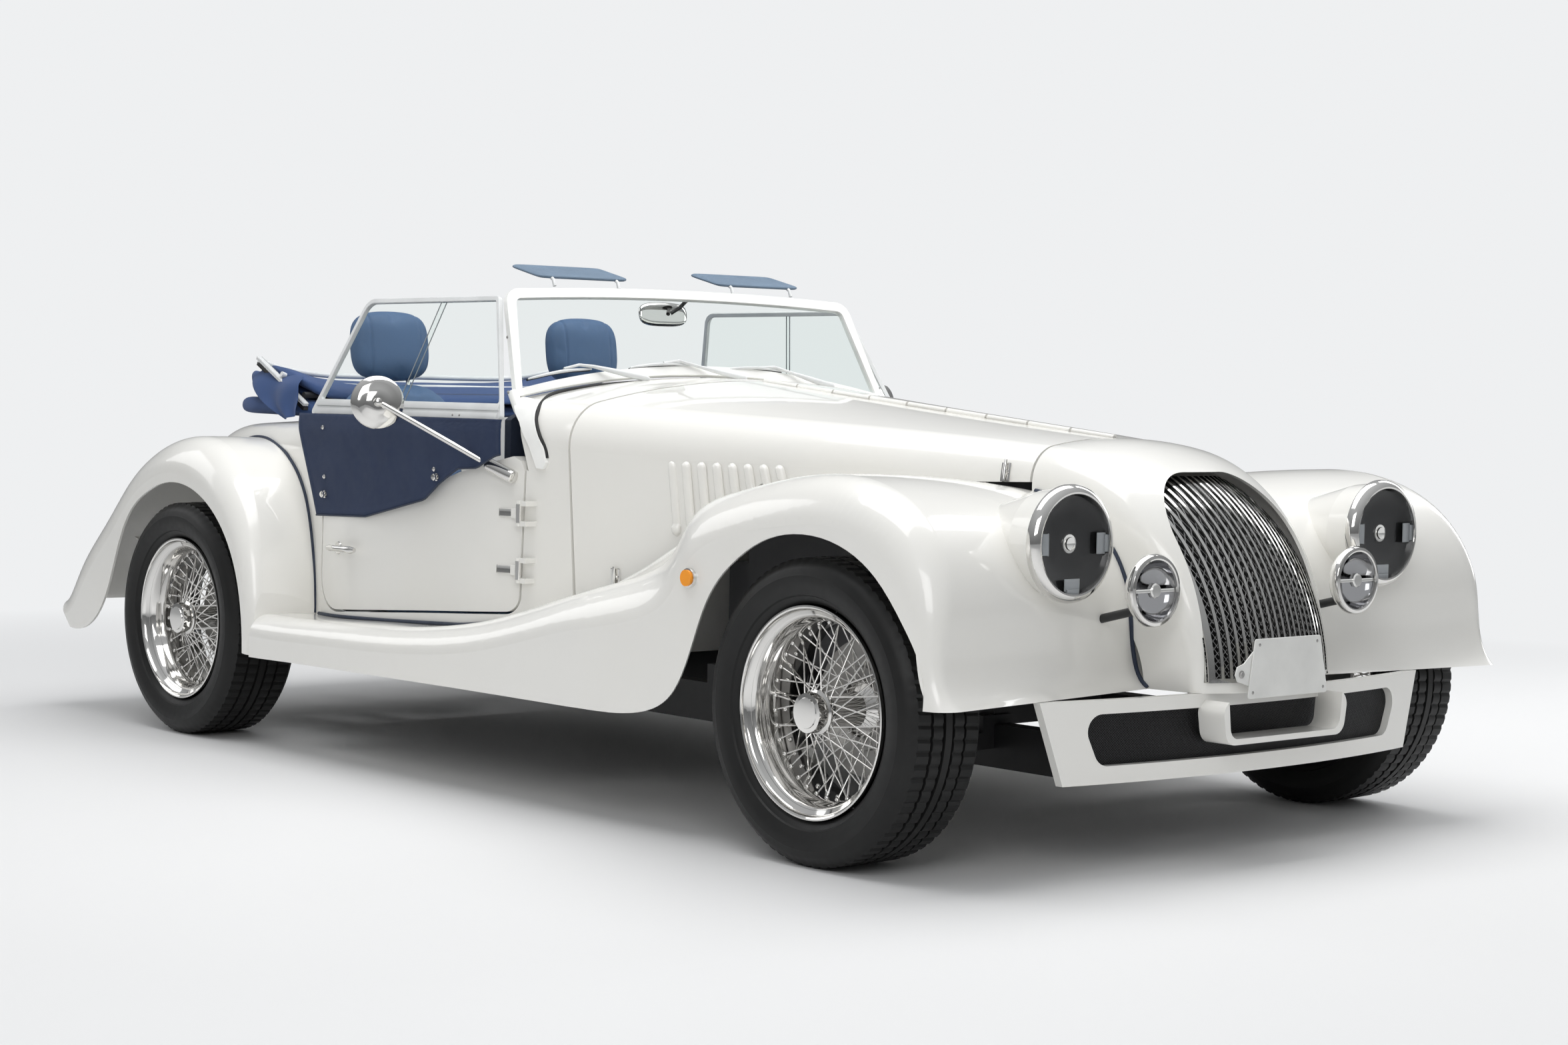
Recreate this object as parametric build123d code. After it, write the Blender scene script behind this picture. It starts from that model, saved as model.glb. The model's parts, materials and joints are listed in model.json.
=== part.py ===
from build123d import *
import math
import os

os.makedirs("parts", exist_ok=True)

# A two-seat roadster with separate wings, running boards and wire wheels.
# Built in millimetres about mid-wheelbase on the ground: +X is the car's left,
# the nose points to -Y and +Z is up. export() moves it to mid-length.

# --- driving dimensions -------------------------------------------------
WHEELBASE = 2520.0
MID_LENGTH_Y = 83.0          # mid-length lies this far behind mid-wheelbase
TRACK_FRONT = 1520.0
TRACK_REAR = 1556.0
HUB_Z = 308.0                # wheel centre above the ground, the tyre's radius
TYRE_W = 205.0
RIM_R = 213.0                # outer radius of the rim's flange
RIM_W = 178.0
BEAD_R = 194.0               # tyre's inner radius
SPOKES = 12                  # spokes in each of the two rows of a wheel

FRONT_Y = -WHEELBASE / 2
REAR_Y = WHEELBASE / 2
FRONT_X = TRACK_FRONT / 2
REAR_X = TRACK_REAR / 2
PIN_X = 640.0                # steering pillar, out from the centreline
PIN_R = 15.0

SKIN = 6.0                   # wing and cowl panels
BONNET_T = 10.0              # bonnet panel with its stiffened edge
WALL = 30.0                  # tub panel with its timber frame
SEAM = 0.4                   # seated pieces, face to face
SHUT = 6.0                   # gap round doors and bonnet
RUN = 0.05                   # radial clearance of a shaft in its bore

NOSE_Y = -1284.0             # nose cowl meets the bonnet
BONNET_Y = -110.0            # bonnet meets the scuttle
HINGE_Z = (852.0, 963.0)     # centre hinge height at NOSE_Y and at BONNET_Y
DOOR_Y = (20.0, 820.0)       # door shut lines at the front and at the rear
DECK_Y = 1150.0              # cockpit ends, rear deck starts
TAIL_Y = 1930.0
FLOOR_Z = 300.0              # underside of the tub and floor
RAIL_X = 330.0
RAIL_Z = (165.0, 255.0)

ARCH_FRONT_R = 354.0
ARCH_REAR_R = 362.0
GRILLE_X = 190.0             # half width of the grille opening
GRILLE_BARS = 19


# --- helpers ------------------------------------------------------------
def export(name, shape):
    export_step(Pos(0, -MID_LENGTH_Y, 0) * shape, f"parts/{name}.step")


def mirrored(shape):
    return mirror(shape, about=Plane.YZ)


def both(shape):
    return Compound([shape, mirrored(shape)])


def box(x, y, z):
    """A box from its limits along each axis."""
    size = (x[1] - x[0], y[1] - y[0], z[1] - z[0])
    mid = ((x[0] + x[1]) / 2, (y[0] + y[1]) / 2, (z[0] + z[1]) / 2)
    return Pos(*mid) * Box(*size)


def rod(start, end, radius):
    """A round bar between two points."""
    a = Vector(*start)
    b = Vector(*end)
    return Solid.make_cylinder(radius, (b - a).length, Plane(origin=a, z_dir=b - a))


def side_prism(points, x):
    """A polygon of (y, z) corners, extruded across the car between x limits."""
    plane = Plane(origin=(x[0], 0, 0), x_dir=(0, 1, 0), z_dir=(1, 0, 0))
    face = plane * make_face(Polyline(*points, close=True))
    return extrude(face, amount=x[1] - x[0])


def largest(shape):
    return shape.solids().sort_by(SortBy.VOLUME)[-1]


# --- body sections ------------------------------------------------------
# y, half width at the foot, half width at the shoulder, foot z, crown z at the
# side, crown z at the centre, shoulder radius
BONNET = (
    (NOSE_Y, 262.0, 258.0, 420.0, 822.0, HINGE_Z[0], 80.0),
    (-900.0, 366.0, 368.0, 400.0, 850.0, 886.0, 95.0),
    (-500.0, 462.0, 480.0, 380.0, 866.0, 924.0, 105.0),
    (BONNET_Y, 565.0, 598.0, 360.0, 884.0, HINGE_Z[1], 110.0),
)
TUB = (
    (BONNET_Y + SHUT, 566.0, 599.0, FLOOR_Z, 885.0, 964.0, 110.0),
    (20.0, 640.0, 618.0, FLOOR_Z, 892.0, 968.0, 105.0),
    (160.0, 668.0, 648.0, FLOOR_Z, 890.0, 966.0, 95.0),
    (500.0, 690.0, 680.0, FLOOR_Z, 860.0, 900.0, 80.0),
    (820.0, 700.0, 690.0, FLOOR_Z, 835.0, 862.0, 70.0),
    (950.0, 664.0, 662.0, FLOOR_Z, 830.0, 855.0, 70.0),
    (1150.0, 642.0, 640.0, FLOOR_Z, 826.0, 850.0, 70.0),
    (1400.0, 615.0, 610.0, FLOOR_Z, 820.0, 841.0, 75.0),
    (1650.0, 565.0, 560.0, FLOOR_Z, 770.0, 792.0, 85.0),
    (1800.0, 520.0, 515.0, FLOOR_Z, 660.0, 690.0, 95.0),
    (TAIL_Y, 470.0, 460.0, FLOOR_Z, 470.0, 500.0, 70.0),
)


def body_section(row, inset=0.0, drop=0.0):
    y, foot_x, side_x, foot_z, side_z, crown_z, radius = row
    foot_z = foot_z - drop
    foot = foot_x - inset
    side = side_x - inset
    top = side_z - inset
    crown = crown_z - inset
    base = Line((-foot, foot_z), (foot, foot_z))
    right = Line((foot, foot_z), (side, top))
    roof = ThreePointArc((side, top), (0, crown), (-side, top))
    left = Line((-side, top), (-foot, foot_z))
    face = make_face(Curve() + [base, right, roof, left])
    corners = [v for v in face.vertices() if v.Y > foot_z + 1]
    face = fillet(corners, radius - inset * 0.5)
    return Plane(origin=(0, y, 0), x_dir=(1, 0, 0), z_dir=(0, -1, 0)) * face


def body(table, inset=0.0, drop=0.0):
    return loft([body_section(row, inset, drop) for row in table])


# --- wings --------------------------------------------------------------
# Each row is a section leaning outward from a point of the wing's lower lip:
# lip y, lip z, lean in degrees (0 forward, 90 up), crest height, shoulder
# radius, outer x, inner x, inner height, skew (y per x inward)
def arch_lip(hub_y, radius, angle):
    turn = math.radians(angle)
    return hub_y - radius * math.cos(turn), HUB_Z + radius * math.sin(turn)


FRONT_WING = tuple(
    arch_lip(FRONT_Y, ARCH_FRONT_R, angle) + (lean, crest, radius, 874.0, inner, height, skew)
    # angle on the arch, lean, crest, radius, inner x, inner height, skew
    for angle, lean, crest, radius, inner, height, skew in (
        (6.5, 2.0, 66.0, 45.0, 185.0, 60.0, 0.13),
        (32.0, 32.0, 84.0, 60.0, 190.0, 80.0, 0.13),
        (55.0, 55.0, 128.0, 85.0, 205.0, 100.0, 0.12),
        (78.0, 78.0, 122.0, 95.0, 225.0, 84.0, 0.1),
        (100.0, 100.0, 118.0, 100.0, 280.0, 90.0, 0.1),
        (126.0, 118.0, 156.0, 100.0, 340.0, 150.0, 0.25),
        (150.0, 112.0, 215.0, 100.0, 390.0, 262.0, 0.45),
    )
) + (
    (-850.0, 302.0, 100.0, 290.0, 100.0, 874.0, 445.0, 370.0, 0.6),
    (-740.0, 258.0, 94.0, 290.0, 95.0, 876.0, 500.0, 365.0, 0.6),
    (-600.0, 248.0, 91.0, 268.0, 88.0, 877.0, 522.0, 326.0, 0.5),
    (-450.0, 247.0, 90.0, 235.0, 80.0, 878.0, 545.0, 268.0, 0.4),
    (-290.0, 247.0, 90.0, 194.0, 75.0, 879.0, 570.0, 213.0, 0.3),
    (-120.0, 247.0, 90.0, 156.0, 70.0, 880.0, 595.0, 162.0, 0.18),
    (50.0, 246.0, 90.0, 132.0, 64.0, 881.0, 620.0, 128.0, 0.08),
    (220.0, 245.0, 90.0, 118.0, 60.0, 882.0, 640.0, 110.0, 0.0),
    (390.0, 244.0, 90.0, 112.0, 58.0, 883.0, 650.0, 104.0, 0.0),
    (560.0, 243.0, 90.0, 108.0, 56.0, 884.0, 660.0, 100.0, 0.0),
    (730.0, 241.0, 90.0, 106.0, 55.0, 885.0, 665.0, 98.0, 0.0),
    (900.0, 240.0, 90.0, 106.0, 55.0, 885.0, 670.0, 98.0, 0.0),
)
REAR_WING = (
    (892.0, 246.0, -6.0, 36.0, 24.0, 886.0, 645.0, 30.0, 0.0),
) + tuple(
    arch_lip(REAR_Y, ARCH_REAR_R, angle) + (lean, crest, radius, 886.0, inner, height, skew)
    # angle on the arch, lean, crest, radius, inner x, inner height, skew
    for angle, lean, crest, radius, inner, height, skew in (
        (12.0, 12.0, 50.0, 40.0, 640.0, 42.0, 0.0),
        (38.0, 38.0, 78.0, 60.0, 610.0, 70.0, 0.0),
        (64.0, 64.0, 112.0, 85.0, 600.0, 106.0, 0.0),
        (90.0, 90.0, 122.0, 95.0, 590.0, 118.0, 0.0),
        (116.0, 116.0, 116.0, 90.0, 560.0, 108.0, 0.0),
        (140.0, 138.0, 128.0, 95.0, 540.0, 118.0, 0.0),
    )
) + (
    (1612.0, 405.0, 143.0, 190.0, 100.0, 884.0, 520.0, 178.0, 0.0),
    (1668.0, 318.0, 142.0, 220.0, 100.0, 882.0, 500.0, 208.0, 0.0),
    (1767.0, 248.0, 140.0, 185.0, 90.0, 880.0, 480.0, 175.0, 0.0),
    (1870.0, 238.0, 137.0, 110.0, 60.0, 878.0, 470.0, 104.0, 0.0),
)


def wing_section(row):
    """Closed strip: lip, flank, round shoulder and top, SKIN thick."""
    lip_y, lip_z, lean, crest, radius, outer_x, inner_x, inner_h, skew = row
    turn = math.radians(lean)
    diag = radius * (1 - math.sqrt(0.5))
    top_x = outer_x - radius
    mid_x = (top_x + inner_x) / 2
    mid_h = crest - (crest - inner_h) / 4

    def at(x, height):
        back = (outer_x - x) * skew - height * math.cos(turn)
        return x, lip_y + back, lip_z + height * math.sin(turn)

    outer = (
        at(outer_x, 0),
        at(outer_x, crest - radius),
        at(outer_x - diag, crest - diag),
        at(top_x, crest),
        at(mid_x, mid_h),
        at(inner_x, inner_h),
    )
    diag_in = SKIN + (radius - SKIN) * (1 - math.sqrt(0.5))
    inner = (
        at(outer_x - SKIN, 0),
        at(outer_x - SKIN, crest - radius),
        at(outer_x - diag_in, crest - diag_in),
        at(top_x, crest - SKIN),
        at(mid_x, mid_h - SKIN),
        at(inner_x, inner_h - SKIN),
    )
    edges = []
    for path in (outer, inner[::-1]):
        flip = path is not outer
        if flip:
            edges.append(ThreePointArc(path[0], path[1], path[2]))
            edges.append(ThreePointArc(path[2], path[3], path[4]))
            edges.append(Line(path[4], path[5]))
            edges.append(Line(path[5], outer[0]))
        else:
            edges.append(Line(path[0], path[1]))
            edges.append(ThreePointArc(path[1], path[2], path[3]))
            edges.append(ThreePointArc(path[3], path[4], path[5]))
            edges.append(Line(path[5], inner[5]))
    return make_face(edges)


def wing(table):
    return loft([wing_section(row) for row in table])


# --- outer panels -------------------------------------------------------
shell_outer = body(TUB)
tub_shell = shell_outer - body(TUB, WALL, 40.0)
body_space = body(BONNET, -SEAM) + body(TUB, -SEAM)

DOOR_FOOT = (400.0, 352.0)   # lower edge of the door opening, front and rear
DOOR_TOP = ((20, 742), (32, 768), (60, 780), (250, 735), (500, 655), (700, 615), (820, 632))
DOOR_FOOT_R = (45.0, 95.0)   # its lower corners' radii


def door_face(gap):
    """The door's side view with rounded lower corners, a gap inside its opening."""
    front, rear = DOOR_Y
    corners = [(front, DOOR_FOOT[0]), (rear, DOOR_FOOT[1])] + list(DOOR_TOP[::-1])
    face = make_face(Polyline(*corners, close=True))
    low = [v for v in face.vertices() if v.Y < 450]
    low_front, low_rear = sorted(low, key=lambda v: v.X)
    face = fillet([low_rear], DOOR_FOOT_R[1])
    low_front = [v for v in face.vertices() if v.Y < 450 and v.X < 100]
    face = fillet(low_front, DOOR_FOOT_R[0])
    return offset(face, amount=-gap, kind=Kind.INTERSECTION) if gap else face


def door_space(gap, x):
    plane = Plane(origin=(x[0], 0, 0), x_dir=(0, 1, 0), z_dir=(1, 0, 0))
    return extrude(plane * door_face(gap), amount=x[1] - x[0])


cockpit_side = side_prism(
    [(14, 740), (60, 880), (150, 905), (150, 1200), (905, 1200), (880, 800), (823, 632)]
    + [(y, z) for y, z in DOOR_TOP[::-1]],
    (-900, 900),
)
cockpit_plan = box((-585, 585), (150, DECK_Y), (330, 1200))
door_cut = door_space(0.0, (-900, 900))
open_tub = tub_shell - cockpit_side - cockpit_plan
SILL_TOP = 600.0
scuttle_cut = box((-900, 900), (-200, DOOR_Y[0]), (0, 1200)) + box((-900, 900), (-200, 150), (738, 1200))
scuttle_cut = scuttle_cut + box((-900, 900), (-200, DOOR_Y[1]), (0, SILL_TOP))
scuttle = open_tub & scuttle_cut
scuttle = scuttle - door_cut
bulkhead_row = TUB[0]
bulkhead = extrude(body_section(bulkhead_row, 10.0), amount=-18.0)
scuttle = largest(scuttle + bulkhead)

rear_cut = box((-900, 900), (DOOR_Y[1] + SEAM, 2000), (0, 1200))
rear_body = (open_tub & rear_cut) - door_cut
deck_row = (DECK_Y, 630.0, 628.0, FLOOR_Z, 820.0, 844.0, 65.0)
deck_wall = extrude(body_section(deck_row), amount=-20.0)
boot_floor = box((-500, 500), (DECK_Y, 1850), (470, 482))
axle_tunnel = Pos(0, REAR_Y, 330) * Rot(0, 90, 0) * Cylinder(170, 1800)
under_tail = box((-900, 900), (REAR_Y, 2100), (0, 400))
rear_body = rear_body + deck_wall + boot_floor - axle_tunnel - under_tail
rear_body = largest(rear_body)

floor_x = 525.0
floor_pan = box((-floor_x, floor_x), (BONNET_Y + SHUT + 20, DECK_Y - 10), (FLOOR_Z, FLOOR_Z + 12))
floor_wide = box((-645, 645), DOOR_Y, (FLOOR_Z, FLOOR_Z + 12)) & body(TUB, WALL + SEAM, 40.0)
tunnel = box((-90, 90), (-60, DECK_Y - 60), (FLOOR_Z, 470))
floor_pan = floor_pan + floor_wide + tunnel
floor_pan = largest(floor_pan)

door_left = largest(tub_shell & door_space(SHUT, (300, 900)))

# --- door hinges --------------------------------------------------------
DOOR_PIN = (647.0, 16.0)     # x and y of the hinge line
DOOR_PIN_R = 3.0
KNUCKLE_R = 7.0
HINGE_HEIGHTS = (505.0, 640.0)


def hinge_leaf(z, half, near, far):
    """A knuckle's plate and its foot in the skin, from y near to y far."""
    x, y = DOOR_PIN
    plate = box((x - 4, x + 2), (min(y, far), max(y, far)), (z - half, z + half))
    foot = box((x - 32, x + 2), (min(near, far), max(near, far)), (z - half, z + half))
    return plate + foot + rod((x, y, z - half), (x, y, z + half), KNUCKLE_R)


for hinge_z in HINGE_HEIGHTS:
    pin_ends = [(*DOOR_PIN, hinge_z + end) for end in (-30, 30)]
    pin = rod(*pin_ends, DOOR_PIN_R)
    knuckles = hinge_leaf(hinge_z - 24, 6.0, -2, -14) + hinge_leaf(hinge_z + 24, 6.0, -2, -14)
    door_knuckle = hinge_leaf(hinge_z, 12.0, 32, 46) - rod(*pin_ends, DOOR_PIN_R + RUN)
    scuttle = scuttle + knuckles + pin + mirrored(knuckles + pin)
    door_left = door_left + door_knuckle
scuttle = largest(scuttle)
door_left = largest(door_left)

WING_JOINT_Y = 858.0         # running board butts against the rear wing


front_wing_left = wing(FRONT_WING) - body_space - box((0, 900), (WING_JOINT_Y - SEAM, 1000), (0, 900))
rear_wing_left = wing(REAR_WING) - body_space - box((0, 900), (700, WING_JOINT_Y), (0, 900))
front_wing_left = largest(front_wing_left)
rear_wing_left = largest(rear_wing_left)


def wing_edge(row, lift):
    """Where a section's top meets the body, as (y, z)."""
    lip_y, lip_z, lean, crest, radius, outer_x, inner_x, inner_h, skew = row
    turn = math.radians(lean)
    height = inner_h + lift
    back = (outer_x - inner_x) * skew - height * math.cos(turn)
    return lip_y + back, lip_z + height * math.sin(turn)


bonnet_edge = [wing_edge(row, SHUT + 4) for row in FRONT_WING[4:13]]
(last_y, last_z), (next_y, next_z) = bonnet_edge[-2:]
corner_z = last_z + (next_z - last_z) * (BONNET_Y - last_y) / (next_y - last_y)
bonnet_edge[-1] = (BONNET_Y, corner_z)
bonnet_room = side_prism(
    [(NOSE_Y + SHUT / 2, bonnet_edge[0][1] + 4)]
    + bonnet_edge
    + [(BONNET_Y, 1100), (NOSE_Y + SHUT / 2, 1100)],
    (SHUT / 2, 900),
)
bonnet_form = body(BONNET)
bonnet_left = largest((bonnet_form - body(BONNET, BONNET_T)) & bonnet_room)

# --- louvres ------------------------------------------------------------
LOUVRE_R = 8.0
LOUVRE_SUNK = 2.5            # of its round, inside the skin
LOUVRE_Y = -385.0            # the rearmost one
LOUVRE_PITCH = -41.0
LOUVRE_TOP = 768.0
LOUVRE_FOOT = (612.0, 624.0, 648.0, 674.0, 697.0, 714.0, 730.0, 742.0)


def skin_point(y, z):
    """Point on the bonnet's left side at y and z, sunk for a louvre's axis."""
    reach = Edge.make_line((200, y, z), (800, y, z)) & bonnet_form
    return Vector(max(v.X for v in reach.vertices()) - LOUVRE_SUNK, y, z)


for index, foot in enumerate(LOUVRE_FOOT):
    louvre_y = LOUVRE_Y + index * LOUVRE_PITCH
    high = skin_point(louvre_y, LOUVRE_TOP)
    low = skin_point(louvre_y - 12, foot)
    louvre = rod(low, high, LOUVRE_R) + Pos(*low) * Sphere(LOUVRE_R) + Pos(*high) * Sphere(LOUVRE_R)
    bonnet_left = bonnet_left + louvre
bonnet_left = largest(bonnet_left)

# --- bonnet hinge -------------------------------------------------------
HINGE_ROD_R = 3.0
BARREL_R = 7.0
BARRELS = 9                  # along the bonnet, left and right by turns
hinge_front = Vector(0, NOSE_Y, HINGE_Z[0])
hinge_rear = Vector(0, BONNET_Y, HINGE_Z[1])
hinge_run = hinge_rear - hinge_front
barrel_pitch = 1.0 / BARRELS
barrel_gap = SHUT / 2 / hinge_run.length


def on_hinge(share):
    """Point on the bonnet's hinge line at a share of its length."""
    return hinge_front + hinge_run * share


def barrel_row(first, radius, gap):
    """Every second barrel of the hinge, as rods of one radius."""
    ends = [(index * barrel_pitch + gap, (index + 1) * barrel_pitch - gap) for index in range(first, BARRELS, 2)]
    return Compound([rod(on_hinge(a), on_hinge(b), radius) for a, b in ends])


rod_end = (SHUT / 2 - SEAM) / hinge_run.length
hinge_rod = rod(on_hinge(-rod_end), on_hinge(1 + rod_end), HINGE_ROD_R)
rod_hole = rod(on_hinge(-0.01), on_hinge(1.01), HINGE_ROD_R + RUN)
bonnet_right = mirrored(bonnet_left) - barrel_row(0, BARREL_R + SHUT, -barrel_gap)
bonnet_left = bonnet_left - barrel_row(1, BARREL_R + SHUT, -barrel_gap)
bonnet_left = largest(bonnet_left + list(barrel_row(0, BARREL_R, barrel_gap).solids()) - rod_hole)
bonnet_right = largest(bonnet_right + list(barrel_row(1, BARREL_R, barrel_gap).solids()) - rod_hole)

# --- nose ---------------------------------------------------------------
NOSE_Z = 350.0               # the nose sections turn about this height
# angle, half width at the foot, at the shoulder, foot, side and crown radius,
# shoulder radius
NOSE = (
    (90.0, 262.0, 258.0, 70.0, 472.0, HINGE_Z[0] - NOSE_Z, 80.0),
    (68.0, 262.0, 252.0, 160.0, 460.0, 503.0, 78.0),
    (45.0, 250.0, 236.0, 250.0, 440.0, 499.0, 62.0),
    (20.0, 232.0, 214.0, 290.0, 425.0, 490.0, 48.0),
    (0.0, 218.0, 202.0, 290.0, 415.0, 482.0, 40.0),
)


def nose_section(row, inset=0.0, drop=0.0):
    angle, foot_x, side_x, foot, side, crown, radius = row
    face = body_section((0.0, foot_x, side_x, foot, side, crown, radius), inset, drop)
    return Pos(0, NOSE_Y, NOSE_Z) * Rot(90.0 - angle, 0, 0) * face


def nose(inset=0.0, drop=0.0):
    return loft([nose_section(row, inset, drop) for row in NOSE])


GRILLE_FOOT = 372.0          # lower end of the grille opening
GRILLE_TOP = 787.0
GRILLE_ARC = (438.0, 487.0)  # radius of the bars at the edge and at the centre


def grille_face(inset, foot=GRILLE_FOOT):
    half = GRILLE_X - inset
    top = GRILLE_TOP - inset
    face = make_face(Polyline((-half, foot), (half, foot), (half, top), (-half, top), close=True))
    upper = [v for v in face.vertices() if v.Y > 700]
    return fillet(upper, 135.0 - inset)


def grille_prism(face):
    plane = Plane(origin=(0, -1450, 0), x_dir=(1, 0, 0), z_dir=(0, -1, 0))
    return extrude(plane * face, amount=450)


def grille_shell(front, back):
    """The bars' curved front, turned about the nose's own centre."""
    edge, middle = GRILLE_ARC
    half = GRILLE_X
    face = make_face([
        ThreePointArc((-half, edge - front), (0, middle - front), (half, edge - front)),
        Line((half, edge - front), (half, edge - back)),
        ThreePointArc((half, edge - back), (0, middle - back), (-half, edge - back)),
        Line((-half, edge - back), (-half, edge - front)),
    ])
    turned_face = revolve(face, axis=Axis.X, revolution_arc=90)
    return Pos(0, NOSE_Y, NOSE_Z) * Rot(90, 0, 0) * turned_face


window = grille_prism(grille_face(0.0))
nose_cowl = nose() - nose(SKIN, 40.0) - window
nose_cowl = nose_cowl & box((-400, 400), (-1900, NOSE_Y - SHUT / 2), (330, 1000))
nose_cowl = largest(nose_cowl)
nose_space = nose(-2 * SEAM)
front_wing_left = largest(front_wing_left - nose_space)

pitch = 2 * (GRILLE_X - 10) / (GRILLE_BARS + 1)
slots = [
    Pos((index - GRILLE_BARS / 2) * pitch, 600) * Rectangle(pitch - 6.0, 600)
    for index in range(GRILLE_BARS + 1)
]
slot_field = grille_face(9.0, GRILLE_FOOT + 9) & (Sketch() + slots)
grille = grille_shell(0.0, 12.0) & grille_prism(grille_face(SEAM) - slot_field)
intake_sheet = grille_shell(12.4, 14.4) & grille_prism(grille_face(2.0, GRILLE_FOOT + 2))

# --- valance under the nose --------------------------------------------
VALANCE_Y = (-1712.0, -1636.0)   # at the centre and at the ends


def valance_band(front, back):
    lines = [
        ThreePointArc((-640, VALANCE_Y[1] + front), (0, VALANCE_Y[0] + front), (640, VALANCE_Y[1] + front)),
        Line((640, VALANCE_Y[1] + front), (640, VALANCE_Y[1] + back)),
        ThreePointArc((640, VALANCE_Y[1] + back), (0, VALANCE_Y[0] + back), (-640, VALANCE_Y[1] + back)),
        Line((-640, VALANCE_Y[1] + back), (-640, VALANCE_Y[1] + front)),
    ]
    return extrude(make_face(lines), amount=600)


def front_view(points, y, radius):
    plane = Plane(origin=(0, y[1], 0), x_dir=(1, 0, 0), z_dir=(0, -1, 0))
    face = make_face(Polyline(*points, close=True))
    if radius:
        face = fillet(face.vertices(), radius)
    return extrude(plane * face, amount=y[1] - y[0])


valance_top = NOSE_Z - SEAM
valance_form = [(-540, 184), (540, 184), (596, valance_top), (-596, valance_top)]
valance_form = front_view(valance_form, (-1900, -1500), 0)
mesh_form = front_view([(-455, 219), (455, 219), (502, 322), (-502, 322)], (-1900, -1500), 34)
mesh_seat = front_view([(-465, 209), (465, 209), (514, 332), (-514, 332)], (-1900, -1500), 38)
valance = (valance_band(0, 18) & valance_form) - mesh_form
intake_mesh = (valance_band(18.4, 21.4) & mesh_seat)
scoop_form = front_view([(-185, 250), (185, 250), (200, 341), (-200, 341)], (-1768, -1700), 30)
scoop_hole = front_view([(-172, 262), (172, 262), (186, 400), (-186, 400)], (-1780, -1690), 24)
valance = valance + (scoop_form - scoop_hole)

# --- lamps --------------------------------------------------------------
HEAD = (492.0, -1612.0, 653.0, 117.0)
FOG = (320.0, -1681.0, 560.0, 73.0)


def turned(points, centre, z_dir=(0, -1, 0)):
    """Revolve (radius, forward) corners about a lamp's axis."""
    plane = Plane(origin=centre, x_dir=(1, 0, 0), z_dir=(0, 0, 1))
    face = make_face(Polyline(*[(r, -f) for r, f in points], close=True))
    return Pos(*centre) * revolve(face, axis=Axis.Y, revolution_arc=360)


head_x, head_y, head_z, head_r = HEAD
pod = turned([(0, 0), (head_r - 6, 0), (head_r - 14, -60), (head_r - 45, -170), (0, -230)], (head_x, head_y, head_z))
pod = pod - nose_space - body_space
front_wing_left = front_wing_left + pod
front_wing_left = largest(front_wing_left)
headlamp = turned(
    [(0, SEAM), (head_r, SEAM), (head_r, 14), (head_r - 16, 24), (head_r - 40, 32), (0, 42)],
    (head_x, head_y, head_z),
)
fog_x, fog_y, fog_z, fog_r = FOG
fog = turned([(0, -34), (40, -30), (fog_r - 6, -6), (fog_r, 0), (fog_r, 8), (fog_r - 14, 14), (0, 18)], (fog_x, fog_y, fog_z))
fog_lamp = fog
bracket = rod((fog_x + 14, fog_y + 22, fog_z - 40), (fog_x + 14, fog_y + 175, fog_z - 78), 9)
bracket = bracket + rod((fog_x + 14, fog_y + 22, fog_z - 40), (fog_x + 4, fog_y + 16, fog_z), 9)
fog_bracket = bracket - front_wing_left - fog - Pos(0, SEAM, -SEAM) * fog
fog_bracket = fog_bracket.solids().sort_by(Axis.Y)[0]


REPEATER = (-915.0, 554.0)   # side repeater, y and z
TAIL_LAMP_X = 700.0
repeater = Pos(871, REPEATER[0], REPEATER[1]) * Rot(0, 90, 0) * Cylinder(17, 34)
repeater = largest(repeater - front_wing_left - box((800, 874.3), (-1000, -800), (500, 620)))
tail_lamp = rod((TAIL_LAMP_X, 1660, 520), (TAIL_LAMP_X, 1815, 520), 32)
tail_lamp = tail_lamp - rear_wing_left
tail_lamp = tail_lamp.solids().sort_by(Axis.Y)[-1]

# --- plate --------------------------------------------------------------
PLATE = ((-146, 342), (114, 342), (89, 462), (-121, 462))
plate = front_view(PLATE, (-1784, -1781), 0)
plate_stay = front_view([(-30, 352), (30, 352), (30, 369), (-30, 369)], (-1781, -1750), 0)
plate = largest(plate + (plate_stay - nose_space))

# --- windscreen ---------------------------------------------------------
SCREEN_FOOT = (114.0, 910.0)     # y and z of the glass corner
SCREEN_RAKE = 23.3
SCREEN_T = 16.0
GLASS_T = 5.0
BAR_W = 24.0
screen_plane = Pos(0, SCREEN_FOOT[0], SCREEN_FOOT[1]) * Rot(90 - SCREEN_RAKE, 0, 0)


def screen_face(inset):
    low = 600.0 - inset
    high = 556.0 - inset
    foot = -2.0 + inset
    lines = [
        ThreePointArc((-low, foot), (0, 66 + inset), (low, foot)),
        Line((low, foot), (high, 284 - inset)),
        ThreePointArc((high, 284 - inset), (0, 300 - inset), (-high, 284 - inset)),
        Line((-high, 284 - inset), (-low, foot)),
    ]
    face = make_face(lines)
    upper = [v for v in face.vertices() if v.Y > 150]
    return fillet(upper, 44.0 - inset)


screen_ring = screen_plane * extrude(screen_face(0) - screen_face(BAR_W), amount=SCREEN_T)
screen_glass = screen_plane * Pos(0, 0, 5) * extrude(screen_face(BAR_W + SEAM), amount=GLASS_T)
leg = [(118, 925), (62, 925), (12, 872), (-30, 800), (-42, 762), (-34, 746), (-16, 748), (8, 800), (46, 856), (90, 895)]
leg = side_prism(leg, (580, 700)) & body(TUB, -9.0)
post = rod((597, 118, 925), (604, 70, 862), 13)
pillar_foot = largest(leg + post - body_space)
windscreen = screen_ring - body_space
windscreen = largest(windscreen + pillar_foot + mirrored(pillar_foot))
screen_glass = largest(screen_glass - windscreen)

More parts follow.
